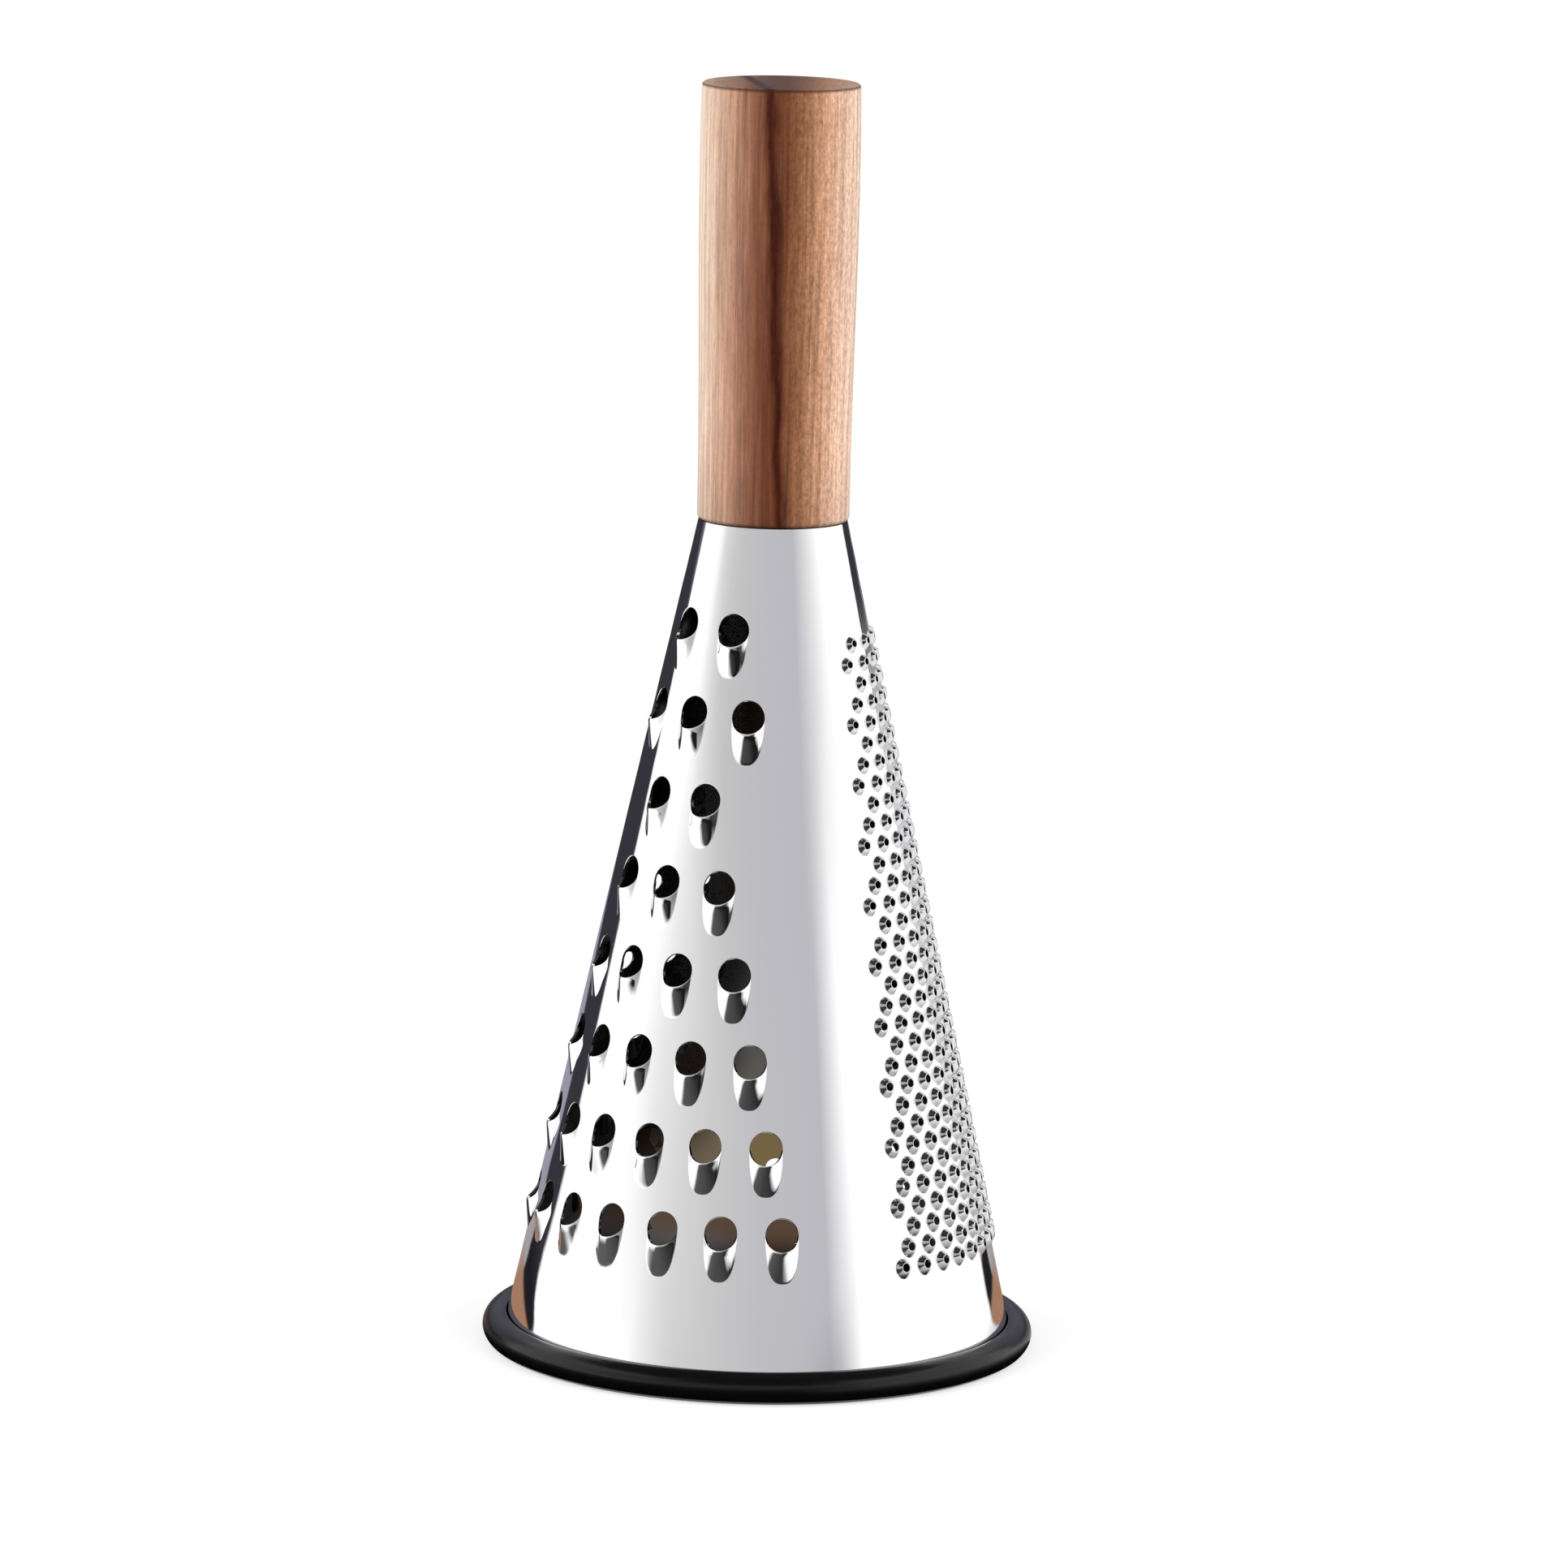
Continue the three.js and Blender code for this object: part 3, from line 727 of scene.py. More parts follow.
def handle_runs():
    """Turned handle, slimmer towards the cone, with rounded edges and a pilot bore."""
    bore = SCREW_RADIUS + CLEARANCE
    bore_top = SCREW_TIP + PILOT_SPARE_DEPTH
    foot = HANDLE_FOOT + HANDLE_FOOT_ROUND
    top = HANDLE_TOP - HANDLE_TOP_ROUND
    heights = [foot, HANDLE_FOOT + HANDLE_WAIST_HEIGHT, HANDLE_FOOT + HANDLE_SWELL_HEIGHT, top]
    radii = [HANDLE_FOOT_RADIUS, HANDLE_WAIST_RADIUS, HANDLE_SWELL_RADIUS, HANDLE_TOP_RADIUS]
    swell = np.polyfit(np.array(heights) - HANDLE_FOOT, radii, len(radii) - 1)
    side_heights = np.linspace(foot, top, HANDLE_ROWS)
    side = [(float(np.polyval(swell, z - HANDLE_FOOT)), z) for z in side_heights]
    foot_centre = (HANDLE_FOOT_RADIUS - HANDLE_FOOT_ROUND, foot)
    top_centre = (HANDLE_TOP_RADIUS - HANDLE_TOP_ROUND, top)
    foot_edge = (foot_centre[0], HANDLE_FOOT)
    foot_arc = arc(foot_centre, HANDLE_FOOT_ROUND, -math.pi / 2, 0, HANDLE_ROUND_STEPS)
    top_arc = arc(top_centre, HANDLE_TOP_ROUND, 0, math.pi / 2, HANDLE_ROUND_STEPS)
    top_face = [(radius, HANDLE_TOP) for radius in np.linspace(top_centre[0], 0, HANDLE_TOP_ROWS)]
    return [
        *straight_runs((0, bore_top), (bore, bore_top), (bore, HANDLE_FOOT), foot_edge),
        foot_arc + side[1:-1] + top_arc,
        top_face,
    ]


# End plate and screw


def plate_runs():
    """Drawn cup with a rounded shoulder, open downwards."""
    hole = SCREW_RADIUS + CLEARANCE
    skirt_foot = CONE_TOP_HEIGHT - PLATE_SKIRT
    underside = CONE_TOP_HEIGHT - PLATE_THICKNESS
    wall = PLATE_THICKNESS / COS

    def skirt(height):
        return inner_radius(height) - CLEARANCE

    inner_bend = PLATE_BEND - PLATE_THICKNESS / 2
    outer_centre = (skirt(CONE_TOP_HEIGHT) - PLATE_BEND, CONE_TOP_HEIGHT - PLATE_BEND)
    inner_centre = (skirt(underside) - wall - inner_bend, underside - inner_bend)
    shoulder = arc(outer_centre, PLATE_BEND, 0, math.pi / 2, PLATE_BEND_STEPS)
    hollow = arc(inner_centre, inner_bend, math.pi / 2, 0, PLATE_BEND_STEPS)
    top_edge, lower_edge = (hole, CONE_TOP_HEIGHT), (hole, underside)
    outer_foot = (skirt(skirt_foot), skirt_foot)
    inner_foot = (skirt(skirt_foot) - wall, skirt_foot)
    return [
        [top_edge, lower_edge],
        [lower_edge, *hollow, inner_foot],
        [inner_foot, outer_foot],
        [outer_foot, *shoulder, top_edge],
    ]


def screw_profile():
    """Rows of (radius, height, threaded) from the bottom of the head to the point."""
    seat = CONE_TOP_HEIGHT - PLATE_THICKNESS
    dome_foot = seat - SCREW_HEAD_WALL
    dome = SCREW_HEAD_HEIGHT - SCREW_HEAD_WALL
    rows = []
    for step in range(SCREW_HEAD_STEPS + 1):
        share = step / SCREW_HEAD_STEPS
        rows.append((SCREW_HEAD_RADIUS * share, dome_foot - dome * math.sqrt(1 - share**2), 0))
    rows.append((SCREW_HEAD_RADIUS, seat, 0))
    rows.append((SCREW_RADIUS, seat, 0))
    thread_start = CONE_TOP_HEIGHT + SCREW_PLAIN_LENGTH
    for height in np.arange(thread_start, SCREW_TIP, SCREW_PITCH / SCREW_THREAD_STEPS):
        left = SCREW_TIP - height
        radius = SCREW_RADIUS * min(1, left / SCREW_POINT)
        rows.append((radius, height, 1))
    rows.append((0, SCREW_TIP, 0))
    return rows


def screw_mesh():
    """Pan head wood screw with a cross recess in its head and a thread on its shank."""
    rows = screw_profile()
    points = []
    for radius, height, threaded in rows:
        for k in range(SCREW_STEPS):
            turn = 2 * math.pi * k / SCREW_STEPS
            wide = radius
            low = height
            if threaded:
                phase = (height / SCREW_PITCH - k / SCREW_STEPS) % 1
                ridge = max(0, 1 - SCREW_THREAD_SLOPE * abs(phase - 0.5))
                wide = radius - min(radius, SCREW_THREAD_DEPTH) * (1 - ridge)
            x, y = wide * math.sin(turn), -wide * math.cos(turn)
            if height < CONE_TOP_HEIGHT - PLATE_THICKNESS - SCREW_HEAD_WALL:
                arm = min(abs(x), abs(y))
                reach = max(abs(x), abs(y))
                if arm < SCREW_RECESS_WIDTH and reach < SCREW_RECESS_REACH:
                    low += SCREW_RECESS_DEPTH * (1 - SCREW_RECESS_TAPER * reach / SCREW_RECESS_REACH)
            points.append((x, y, low))
    points = np.array(points)
    rings = np.arange(len(points)).reshape(-1, SCREW_STEPS).tolist()
    closed = [ring + ring[:1] for ring in rings]
    faces = [face for pair in zip(closed, closed[1:]) for face in strip_faces(*pair)]
    return merge_points(points, faces)


def merge_points(points, faces):
    """Joins points that lie on each other and drops faces that vanish."""
    keys = {}
    order = []
    for point in points:
        key = tuple(np.round(point, 5))
        if key not in keys:
            keys[key] = len(keys)
        order.append(keys[key])
    joined = [unique_corners([order[index] for index in face]) for face in faces]
    return np.array(list(keys)), [face for face in joined if len(face) > 2]


# Materials


class Nodes:
    """A node tree with short ways to add to it."""

    def __init__(self, tree):
        self.tree = tree

    def feed(self, socket, value):
        if isinstance(value, bpy.types.NodeSocket):
            self.tree.links.new(value, socket)
        else:
            socket.default_value = value

    def add(self, kind, inputs=(), **settings):
        node = self.tree.nodes.new("ShaderNode" + kind)
        for name, value in settings.items():
            setattr(node, name, value)
        for name, value in dict(inputs).items():
            self.feed(node.inputs[name], value)
        return node

    def surface(self, inputs):
        shader = self.tree.nodes["Principled BSDF"]
        for name, value in inputs.items():
            self.feed(shader.inputs[name], value)
        return shader

    def show(self, node):
        self.feed(self.tree.nodes["Material Output"].inputs["Surface"], node.outputs[0])

    def math(self, operation, first, second=0.0, clamp=False):
        return self.add("Math", {0: first, 1: second}, operation=operation, use_clamp=clamp).outputs[0]

    def plus(self, first, second, clamp=False):
        return self.math("ADD", first, second, clamp)

    def minus(self, first, second):
        return self.math("SUBTRACT", first, second)

    def times(self, first, second):
        return self.math("MULTIPLY", first, second)

    def place(self):
        return self.add("TexCoord").outputs["Object"]

    def noise(self, vector, scale, detail, roughness=0.5):
        inputs = {"Vector": vector, "Scale": scale, "Detail": detail, "Roughness": roughness}
        return self.add("TexNoise", inputs).outputs["Fac"]

    def grain(self, vector, across, along, detail, roughness=0.5):
        """Noise that is drawn out along the axis."""
        inputs = {0: vector, 1: (across, across, along)}
        drawn = self.add("VectorMath", inputs, operation="MULTIPLY").outputs[0]
        return self.noise(drawn, 1.0, detail, roughness)

    def ranged(self, value, low, high, to_low, to_high):
        inputs = {"Value": value, "From Min": low, "From Max": high, "To Min": to_low, "To Max": to_high}
        return self.add("MapRange", inputs).outputs[0]

    def mixed(self, factor, first, second, blend="MIX"):
        inputs = {"Factor": factor, 6: first, 7: second}
        return self.add("Mix", inputs, data_type="RGBA", blend_type=blend).outputs[2]

    def ramp(self, factor, stops):
        node = self.add("ValToRGB", {"Fac": factor})
        elements = node.color_ramp.elements
        while len(elements) < len(stops):
            elements.new(0.5)
        for element, (place, colour) in zip(elements, stops):
            element.position = place
            element.color = colour
        return node.outputs["Color"]

    def bump(self, height, strength, distance):
        inputs = {"Strength": strength, "Distance": distance, "Height": height}
        return self.add("Bump", inputs).outputs["Normal"]


def new_material(name):
    """Material with its nodes and the place on the object that its noises read."""
    material = bpy.data.materials.new(name)
    material.use_nodes = True
    nodes = Nodes(material.node_tree)
    return material, nodes, nodes.place()


def linear(red, green, blue):
    """A colour given as it looks on screen, 0 to 255, as the linear values that shaders take."""
    values = []
    for value in (red, green, blue):
        share = value / 255
        values.append(share / 12.92 if share <= 0.04045 else ((share + 0.055) / 1.055) ** 2.4)
    return (*values, 1)


def dimmed(colour, share):
    return (*(value * share for value in colour[:3]), 1)


NOISE_SPAN = (0.3, 0.7)  # the values that a noise mostly takes

# A noise is given by scale and detail, a grain by scale across, scale along, detail and roughness,
# and a relief by strength and depth in metres
STEEL_BRIGHT = (0.95, 0.95, 0.96, 1)
STEEL_HAZE = (60.0, 3.0)
STEEL_POLISH = (0.03, 0.06)
INNER_TONE_AND_SHADE = 0.06  # how much the inside reflects, against the outside: partly its duller unpolished finish, partly painted shade
INNER_ROUGHNESS = 0.2
STEEL_MARKS = (300.0, 3000.0, 3.0)
MARK_TONE = 0.85
MARK_ROUGHNESS = 0.06
MARK_RELIEF = (0.15, 0.0001)
PLATE_COLOUR = (0.62, 0.63, 0.64, 1)
PLATE_ROUGHNESS = 0.3
SCREW_COLOUR = (0.55, 0.56, 0.58, 1)
SCREW_ROUGHNESS = 0.34


def polished_steel():
    """Mirror polish outside, with faint haze from the polishing wheel, and a darker inside that is
    partly a duller finish and partly painted shade.
    """
    material, nodes, place = new_material("polished_steel")
    # painted shade: the inside attribute gives each face's share of the darkened steel colour
    inside = nodes.add("Attribute", attribute_name="inside").outputs["Fac"]
    polish = nodes.ranged(nodes.noise(place, *STEEL_HAZE), *NOISE_SPAN, *STEEL_POLISH)
    nodes.surface({
        "Metallic": 1,
        "Base Color": nodes.mixed(inside, STEEL_BRIGHT, dimmed(STEEL_BRIGHT, INNER_TONE_AND_SHADE)),
        "Roughness": nodes.plus(polish, nodes.times(inside, INNER_ROUGHNESS)),
    })
    return material


def worked_steel(name, colour, roughness):
    """Duller steel of the plate and the screw, with fine turning marks."""
    material, nodes, place = new_material(name)
    marks = nodes.grain(place, *STEEL_MARKS)
    spread = (roughness - MARK_ROUGHNESS, roughness + MARK_ROUGHNESS)
    nodes.surface({
        "Metallic": 1,
        "Base Color": nodes.mixed(marks, colour, dimmed(colour, MARK_TONE)),
        "Roughness": nodes.ranged(marks, *NOISE_SPAN, *spread),
        "Normal": nodes.bump(marks, *MARK_RELIEF),
    })
    return material


RUBBER_CLOUD = (90.0, 3.0)
RUBBER_TONES = (linear(7, 7, 8), linear(12, 12, 13))
RUBBER_ROUGHNESS = (0.2, 0.3)
RUBBER_SHEEN = 0.36
RUBBER_GRAIN = (2500.0, 2.0)
RUBBER_RELIEF = (0.05, 0.0001)


def black_rubber():
    material, nodes, place = new_material("black_rubber")
    cloud = nodes.noise(place, *RUBBER_CLOUD)
    nodes.surface({
        "Base Color": nodes.mixed(cloud, *RUBBER_TONES),
        "Roughness": nodes.ranged(cloud, *NOISE_SPAN, *RUBBER_ROUGHNESS),
        "Specular IOR Level": RUBBER_SHEEN,
        "Normal": nodes.bump(nodes.noise(place, *RUBBER_GRAIN), *RUBBER_RELIEF),
    })
    return material


# Wood: its colour with painted side light, lighter at the left and right edges and darker towards the
# middle, with one dark growth layer that leans across the handle
LAYER_TURN = 0.19  # how far the layer moves sideways for each unit towards the back
LAYER_LEAN = 0.04  # and for each unit upwards
LAYER_SWAY = 0.8  # how far it wanders from flat
LAYER_WANDER = (50.0, 18.0, 2.0)
LAYER_FRAY = 1.3  # how ragged its edges are
LAYER_RAGS = (420.0, 110.0, 3.0)
LAYER_X = -2.2  # where it meets the front of the top edge
LAYER_HALF_WIDTH = (0.3, 1.7)  # where it starts and ends to fade out
LAYER_TONE = linear(68, 20, 5)
WOOD_HALF_WIDTH = 16
# wood colour across X with painted side light: lighter edges, darker middle
WOOD_COLOUR_AND_SIDE_LIGHT = (
    (-16, linear(238, 214, 194)),
    (-12, linear(204, 166, 142)),
    (-8.5, linear(182, 135, 110)),
    (-5, linear(135, 87, 63)),
    (-1.5, linear(112, 63, 38)),
    (1.5, linear(117, 67, 41)),
    (5, linear(153, 102, 71)),
    (9, linear(205, 153, 121)),
    (13, linear(229, 190, 165)),
    (16, linear(228, 198, 177)),
)
WOOD_LINES = (900.0, 16.0, 4.0, 0.7)
LINE_SHADE = (0.64, 1.36)
WOOD_FIBRES = (3600.0, 160.0, 3.0, 0.6)
FIBRE_SPAN = (0.25, 0.75)
FIBRE_SHADE = (0.82, 1.18)
WOOD_CURL = (1500.0, 900.0, 3.0, 0.7)
CURL_MEAN = 0.5
CURL_CONTRAST = 2.4
CURL_REACH = 5  # from the layer to where the curl is strongest
CURL_SHARES = (0.15, 0.7)
WOOD_FOOT_REACH = 14  # how far up the darker foot fades out
WOOD_FOOT_SHADE = 0.84
WOOD_PORES = (5200.0, 420.0, 1.0)
PORE_SPAN = (0.66, 0.76)
PORE_DEPTH = 0.45
PORE_TONE = linear(110, 66, 44)
END_FACING = (0.7, 0.95)  # how far a face of the end grain looks upwards
END_SHARE = 0.75
END_TONE = linear(128, 117, 103)
WOOD_EDGE = 0.9  # height of the darker bands at the foot and the top edge
WOOD_EDGE_FULL = 0.4  # below the top, where the upper one is darkest
WOOD_EDGE_TONE = linear(58, 28, 18)
FOOT_EDGE_SHARE = 0.55
TOP_EDGE_SHARE = 0.85
WOOD_ROUGHNESS = (0.62, 0.5)
WOOD_SHEEN = 0.25
WOOD_RELIEF = (0.2, 0.00012)


def handle_wood():
    material, nodes, place = new_material("handle_wood")
    x, y, z = nodes.add("SeparateXYZ", {0: place}).outputs
    wander = nodes.ranged(nodes.grain(place, *LAYER_WANDER), 0, 1, -LAYER_SWAY * MM, LAYER_SWAY * MM)
    fray = nodes.ranged(nodes.grain(place, *LAYER_RAGS), 0, 1, -LAYER_FRAY * MM, LAYER_FRAY * MM)
    sway = nodes.plus(wander, fray)
    turned = nodes.times(nodes.plus(y, HANDLE_TOP_RADIUS * MM), LAYER_TURN)
    leaned = nodes.times(nodes.minus(z, HANDLE_TOP * MM), LAYER_LEAN)
    layer = nodes.plus(x, nodes.plus(turned, leaned))
    layer = nodes.plus(nodes.minus(layer, LAYER_X * MM), sway)
    reach = WOOD_HALF_WIDTH * MM
    # painted light: the ramp across X makes the handle lighter at its edges and darker in the middle
    across = nodes.ranged(nodes.plus(x, sway), -reach, reach, 0, 1)
    tones = [((value + WOOD_HALF_WIDTH) / (2 * WOOD_HALF_WIDTH), colour) for value, colour in WOOD_COLOUR_AND_SIDE_LIGHT]
    near, away = (value * MM for value in LAYER_HALF_WIDTH)
    in_layer = nodes.ranged(nodes.math("ABSOLUTE", layer), near, away, 1, 0)
    body = nodes.mixed(in_layer, nodes.ramp(across, tones), LAYER_TONE)

    # Growth lines and fibres drawn out along the handle, and a curly figure right of the dark layer
    fibres = nodes.grain(place, *WOOD_FIBRES)
    curl = nodes.minus(nodes.grain(place, *WOOD_CURL), CURL_MEAN)
    figure = nodes.times(curl, nodes.ranged(layer, 0.0, CURL_REACH * MM, *CURL_SHARES))
    foot_top = (HANDLE_FOOT + WOOD_FOOT_REACH) * MM
    shade = nodes.ranged(nodes.grain(place, *WOOD_LINES), *NOISE_SPAN, *LINE_SHADE)
    shade = nodes.times(shade, nodes.ranged(fibres, *FIBRE_SPAN, *FIBRE_SHADE))
    shade = nodes.times(shade, nodes.plus(nodes.times(figure, CURL_CONTRAST), 1.0))
    shade = nodes.times(shade, nodes.ranged(z, HANDLE_FOOT * MM, foot_top, WOOD_FOOT_SHADE, 1))
    body = nodes.mixed(1.0, body, shade, "MULTIPLY")
    pores = nodes.ranged(nodes.grain(place, *WOOD_PORES), *PORE_SPAN, 0, PORE_DEPTH)
    body = nodes.mixed(pores, body, PORE_TONE)

    # End grain takes the light more dully, and the turned edges are darker
    normal = nodes.add("NewGeometry").outputs["Normal"]
    facing = nodes.add("SeparateXYZ", {0: normal}).outputs[2]
    end = nodes.ranged(facing, *END_FACING, 0, 1)
    body = nodes.mixed(end, body, nodes.mixed(END_SHARE, body, END_TONE, "MULTIPLY"))
    foot_edge = nodes.ranged(z, HANDLE_FOOT * MM, (HANDLE_FOOT + WOOD_EDGE) * MM, FOOT_EDGE_SHARE, 0)
    edge_heights = ((HANDLE_TOP - WOOD_EDGE) * MM, (HANDLE_TOP - WOOD_EDGE_FULL) * MM)
    top_edge = nodes.ranged(z, *edge_heights, 0, TOP_EDGE_SHARE)
    edges = nodes.plus(nodes.times(nodes.minus(1.0, end), top_edge), foot_edge)
    nodes.surface({
        "Base Color": nodes.mixed(edges, body, WOOD_EDGE_TONE),
        "Roughness": nodes.ranged(fibres, *NOISE_SPAN, *WOOD_ROUGHNESS),
        "Specular IOR Level": WOOD_SHEEN,
        "Normal": nodes.bump(nodes.minus(fibres, pores), *WOOD_RELIEF),
    })
    return material


# Stage: white floor, soft boxes at both sides, and glowing cards that only reflections show, which are
# painted reflections


def stage_material(name):
    material = bpy.data.materials.new(name)
    material.use_nodes = True
    material.cycles.emission_sampling = "NONE"
    return material, Nodes(material.node_tree)


def stage_mesh(name, points, faces, material):
    mesh = bpy.data.meshes.new(name)
    mesh.from_pydata(points, [], faces)
    mesh.materials.append(material)
    thing = bpy.data.objects.new(name, mesh)
    bpy.context.scene.collection.objects.link(thing)
    return thing


def seen_background(nodes):
    """1 for rays that show the background: straight, in a reflection or through glass."""
    path = nodes.add("LightPath").outputs
    shown = nodes.plus(path["Is Camera Ray"], path["Is Glossy Ray"])
    return nodes.plus(shown, path["Is Transmission Ray"], True)


FLOOR_HALF = 12.0
FLOOR_COLOUR = (0.36, 0.36, 0.36, 1)
FLOOR_GLOW = 0.62  # what the floor shows without any light, near the object
FLOOR_WHITE_REACH = (0.25, 0.7)  # distances over which the floor turns wholly white


def make_floor():
    """Pale floor that shows white and keeps the object's shadow."""
    material, nodes = stage_material("floor")
    diffuse = nodes.surface({"Base Color": FLOOR_COLOUR, "Roughness": 1, "Specular IOR Level": 0})
    distance = nodes.add("VectorMath", {0: nodes.place()}, operation="LENGTH").outputs["Value"]
    glow = nodes.add("Emission", {"Strength": nodes.times(seen_background(nodes), FLOOR_GLOW)})
    near = nodes.add("AddShader", {0: diffuse.outputs[0], 1: glow.outputs[0]})
    white = nodes.add("Emission", {"Strength": seen_background(nodes)})
    far = nodes.ranged(distance, *FLOOR_WHITE_REACH, 0, 1)
    nodes.show(nodes.add("MixShader", {0: far, 1: near.outputs[0], 2: white.outputs[0]}))
    half = FLOOR_HALF
    corners = [(-half, -half, 0), (half, -half, 0), (half, half, 0), (-half, half, 0)]
    stage_mesh("floor", corners, [(0, 1, 2, 3)], material)


def toned_material():
    material, nodes = stage_material("painted_reflection_card")
    nodes.tree.nodes.remove(nodes.tree.nodes["Principled BSDF"])
    tone = nodes.add("Attribute", attribute_name="tone").outputs["Color"]
    # painted reflection: the card glows with its tone, though it is no lamp
    nodes.show(nodes.add("Emission", {"Color": tone}))
    return material


CARD_STEP = 1.0  # degrees between the columns of a card


def painted_reflection_card(name, places, tone, material):
    """Glowing card round the object that only reflections show: a painted reflection. Its rows lie at
    places, as (distance, height), and tone gives its colour for an azimuth in degrees from the front
    towards +X, and a place."""
    azimuths = np.arange(-180, 180 + CARD_STEP / 2, CARD_STEP)
    points = []
    tones = []
    for distance, height in places:
        for azimuth in azimuths:
            turn = math.radians(azimuth)
            points.append((distance * math.sin(turn), -distance * math.cos(turn), height))
            tones += list(tone(azimuth, distance, height))
    count = len(azimuths)
    rows = np.arange(len(points)).reshape(-1, count).tolist()
    faces = [face for first, second in zip(rows, rows[1:]) for face in strip_faces(first, second)]
    card = stage_mesh(name, points, faces, material)
    layer = card.data.color_attributes.new("tone", "FLOAT_COLOR", "POINT")
    layer.data.foreach_set("color", tones)
    for kind in ("camera", "diffuse", "shadow", "transmission"):
        setattr(card, "visible_" + kind, False)


def grey(value):
    return linear(value, value, value)


def blended(first, second, value, low, high):
    """First colour for values up to low, second from high on."""
    share = min(1, max(0, (value - low) / (high - low)))
    return tuple(a + (b - a) * share for a, b in zip(first, second))


def stepped(value, stops):
    """Colour at a value, in between stops of rising places and their colours."""
    places, colours = zip(*stops)
    return tuple(float(np.interp(value, places, channel)) for channel in zip(*colours))


# Painted reflections that the steel shows: soft boxes at both sides, a dim front between them, a dark
# floor towards the camera, a dark gap behind each box, a pale back and a round brown worktop under the
# object.
# Turns are azimuths without their sign, and reaches are distances over which one tone becomes another.
# white of the soft boxes as a painted reflection, brighter than white
CARD_WHITE = (1.06, 1.06, 1.06, 1)
DARK = grey(44)
BLACK = linear(54, 53, 60)
NEAR_BLACK = linear(32, 31, 36)
PALE = linear(154, 151, 168)
LIGHT = linear(208, 207, 211)
BROWN = linear(164, 124, 98)
CEILING_GREY = grey(60)
# painted contact shadow on the floor's reflection, just round the ring
CONTACT_SHADOW = grey(14)
CONTACT_SHADOW_REACH = (0.058, 0.068)
FLOOR_CARD_HEIGHT = 0.0008
FLOOR_CARD_REACH = (0.0548, 1.6)
FLOOR_CARD_ROWS = 60

# Left and right of the floor: the shade beside the object, and the dark gap behind the soft box, with
# the turns where it starts and ends by distance, and the tone that it has far away
GAP_TO_DISTANCES = (0.14, 0.19, 0.26, 0.35)
GAP_BLUR = 2.0
LEFT = {
    "shade": grey(92),
    "shade_reach": (0.125, 0.18),
    "from_distances": (0.06, 0.13, 0.18, 0.225, 0.26, 0.32, 0.44),
    "gap_from": (104, 108, 110, 114, 120, 124, 126),
    "gap_to": (132, 136, 138, 142),
    "gap_far": BLACK,
    "gap_reach": (0.2, 0.4),
    "pale": PALE,
}
RIGHT = {
    "shade": grey(190),
    "shade_reach": (0.07, 0.14),
    "from_distances": (0.06, 0.11, 0.15, 0.2, 0.24, 0.35),
    "gap_from": (110, 116, 123, 127, 130, 134),
    "gap_to": (133, 138, 143, 149),
    "gap_far": LIGHT,
    "gap_reach": (0.24, 0.28),
    "pale": LIGHT,
}
PALE_FROM = (0.15, 0.24)
PALE_REACH = (0.62, 0.7)
LIGHT_TURNS = (157, 165, 172)  # the light floor on the right ends nearer towards the back
LIGHT_LIMITS = (1.6, 1.4, 1.1)
LIGHT_BLUR = 0.06

# The round worktop, which turns grey towards the back
WORKTOP_EDGE = (0.132, 0.14)
WORKTOP_GREY = linear(166, 162, 160)
WORKTOP_TURN = (132, 146)

# The dark floor in front: its first and last azimuth by distance
FRONT_DISTANCES = (0.12, 0.15, 0.2, 0.3, 0.5, 1.0)
FRONT_LEFT = (-60, -57, -54, -52, -42, -34)
FRONT_RIGHT = (16, 19, 31, 37, 46, 50)
FRONT_BLUR = 7
FRONT_LIGHTER = grey(84)
FRONT_DARKER = grey(47)
FRONT_FAR = grey(26)
FRONT_TURN = (-40, 20)  # azimuths between which it darkens
FRONT_FAR_REACH = (0.4, 0.8)


def floor_tone(azimuth, distance, _height):
    beside = RIGHT if azimuth > 0 else LEFT
    turn = abs(azimuth)
    side = blended(beside["shade"], CARD_WHITE, distance, *beside["shade_reach"])
    if turn > 90:
        gap_from = np.interp(distance, beside["from_distances"], beside["gap_from"])
        gap_to = np.interp(distance, GAP_TO_DISTANCES, beside["gap_to"])
        gap = blended(NEAR_BLACK, beside["gap_far"], distance, *beside["gap_reach"])
        far = BLACK
        if azimuth > 0:
            limit = np.interp(turn, LIGHT_TURNS, LIGHT_LIMITS)
            far = blended(LIGHT, BLACK, distance, limit, limit + LIGHT_BLUR)
        beyond = blended(WORKTOP_GREY, beside["pale"], distance, *PALE_FROM)
        beyond = blended(beyond, far, distance, *PALE_REACH)
        beyond = blended(gap, beyond, turn, gap_to, gap_to + GAP_BLUR)
        worktop = blended(BROWN, WORKTOP_GREY, turn, *WORKTOP_TURN)
        behind = blended(worktop, beyond, distance, *WORKTOP_EDGE)
        return blended(side, behind, turn, gap_from - GAP_BLUR, gap_from)
    left = np.interp(distance, FRONT_DISTANCES, FRONT_LEFT)
    right = np.interp(distance, FRONT_DISTANCES, FRONT_RIGHT)
    front = blended(FRONT_LIGHTER, FRONT_DARKER, azimuth, *FRONT_TURN)
    front = blended(front, FRONT_FAR, distance, *FRONT_FAR_REACH)
    tone = blended(side, front, azimuth, left - FRONT_BLUR, left + FRONT_BLUR)
    tone = blended(tone, side, azimuth, right - FRONT_BLUR, right + FRONT_BLUR)
    return blended(CONTACT_SHADOW, tone, distance, *CONTACT_SHADOW_REACH)


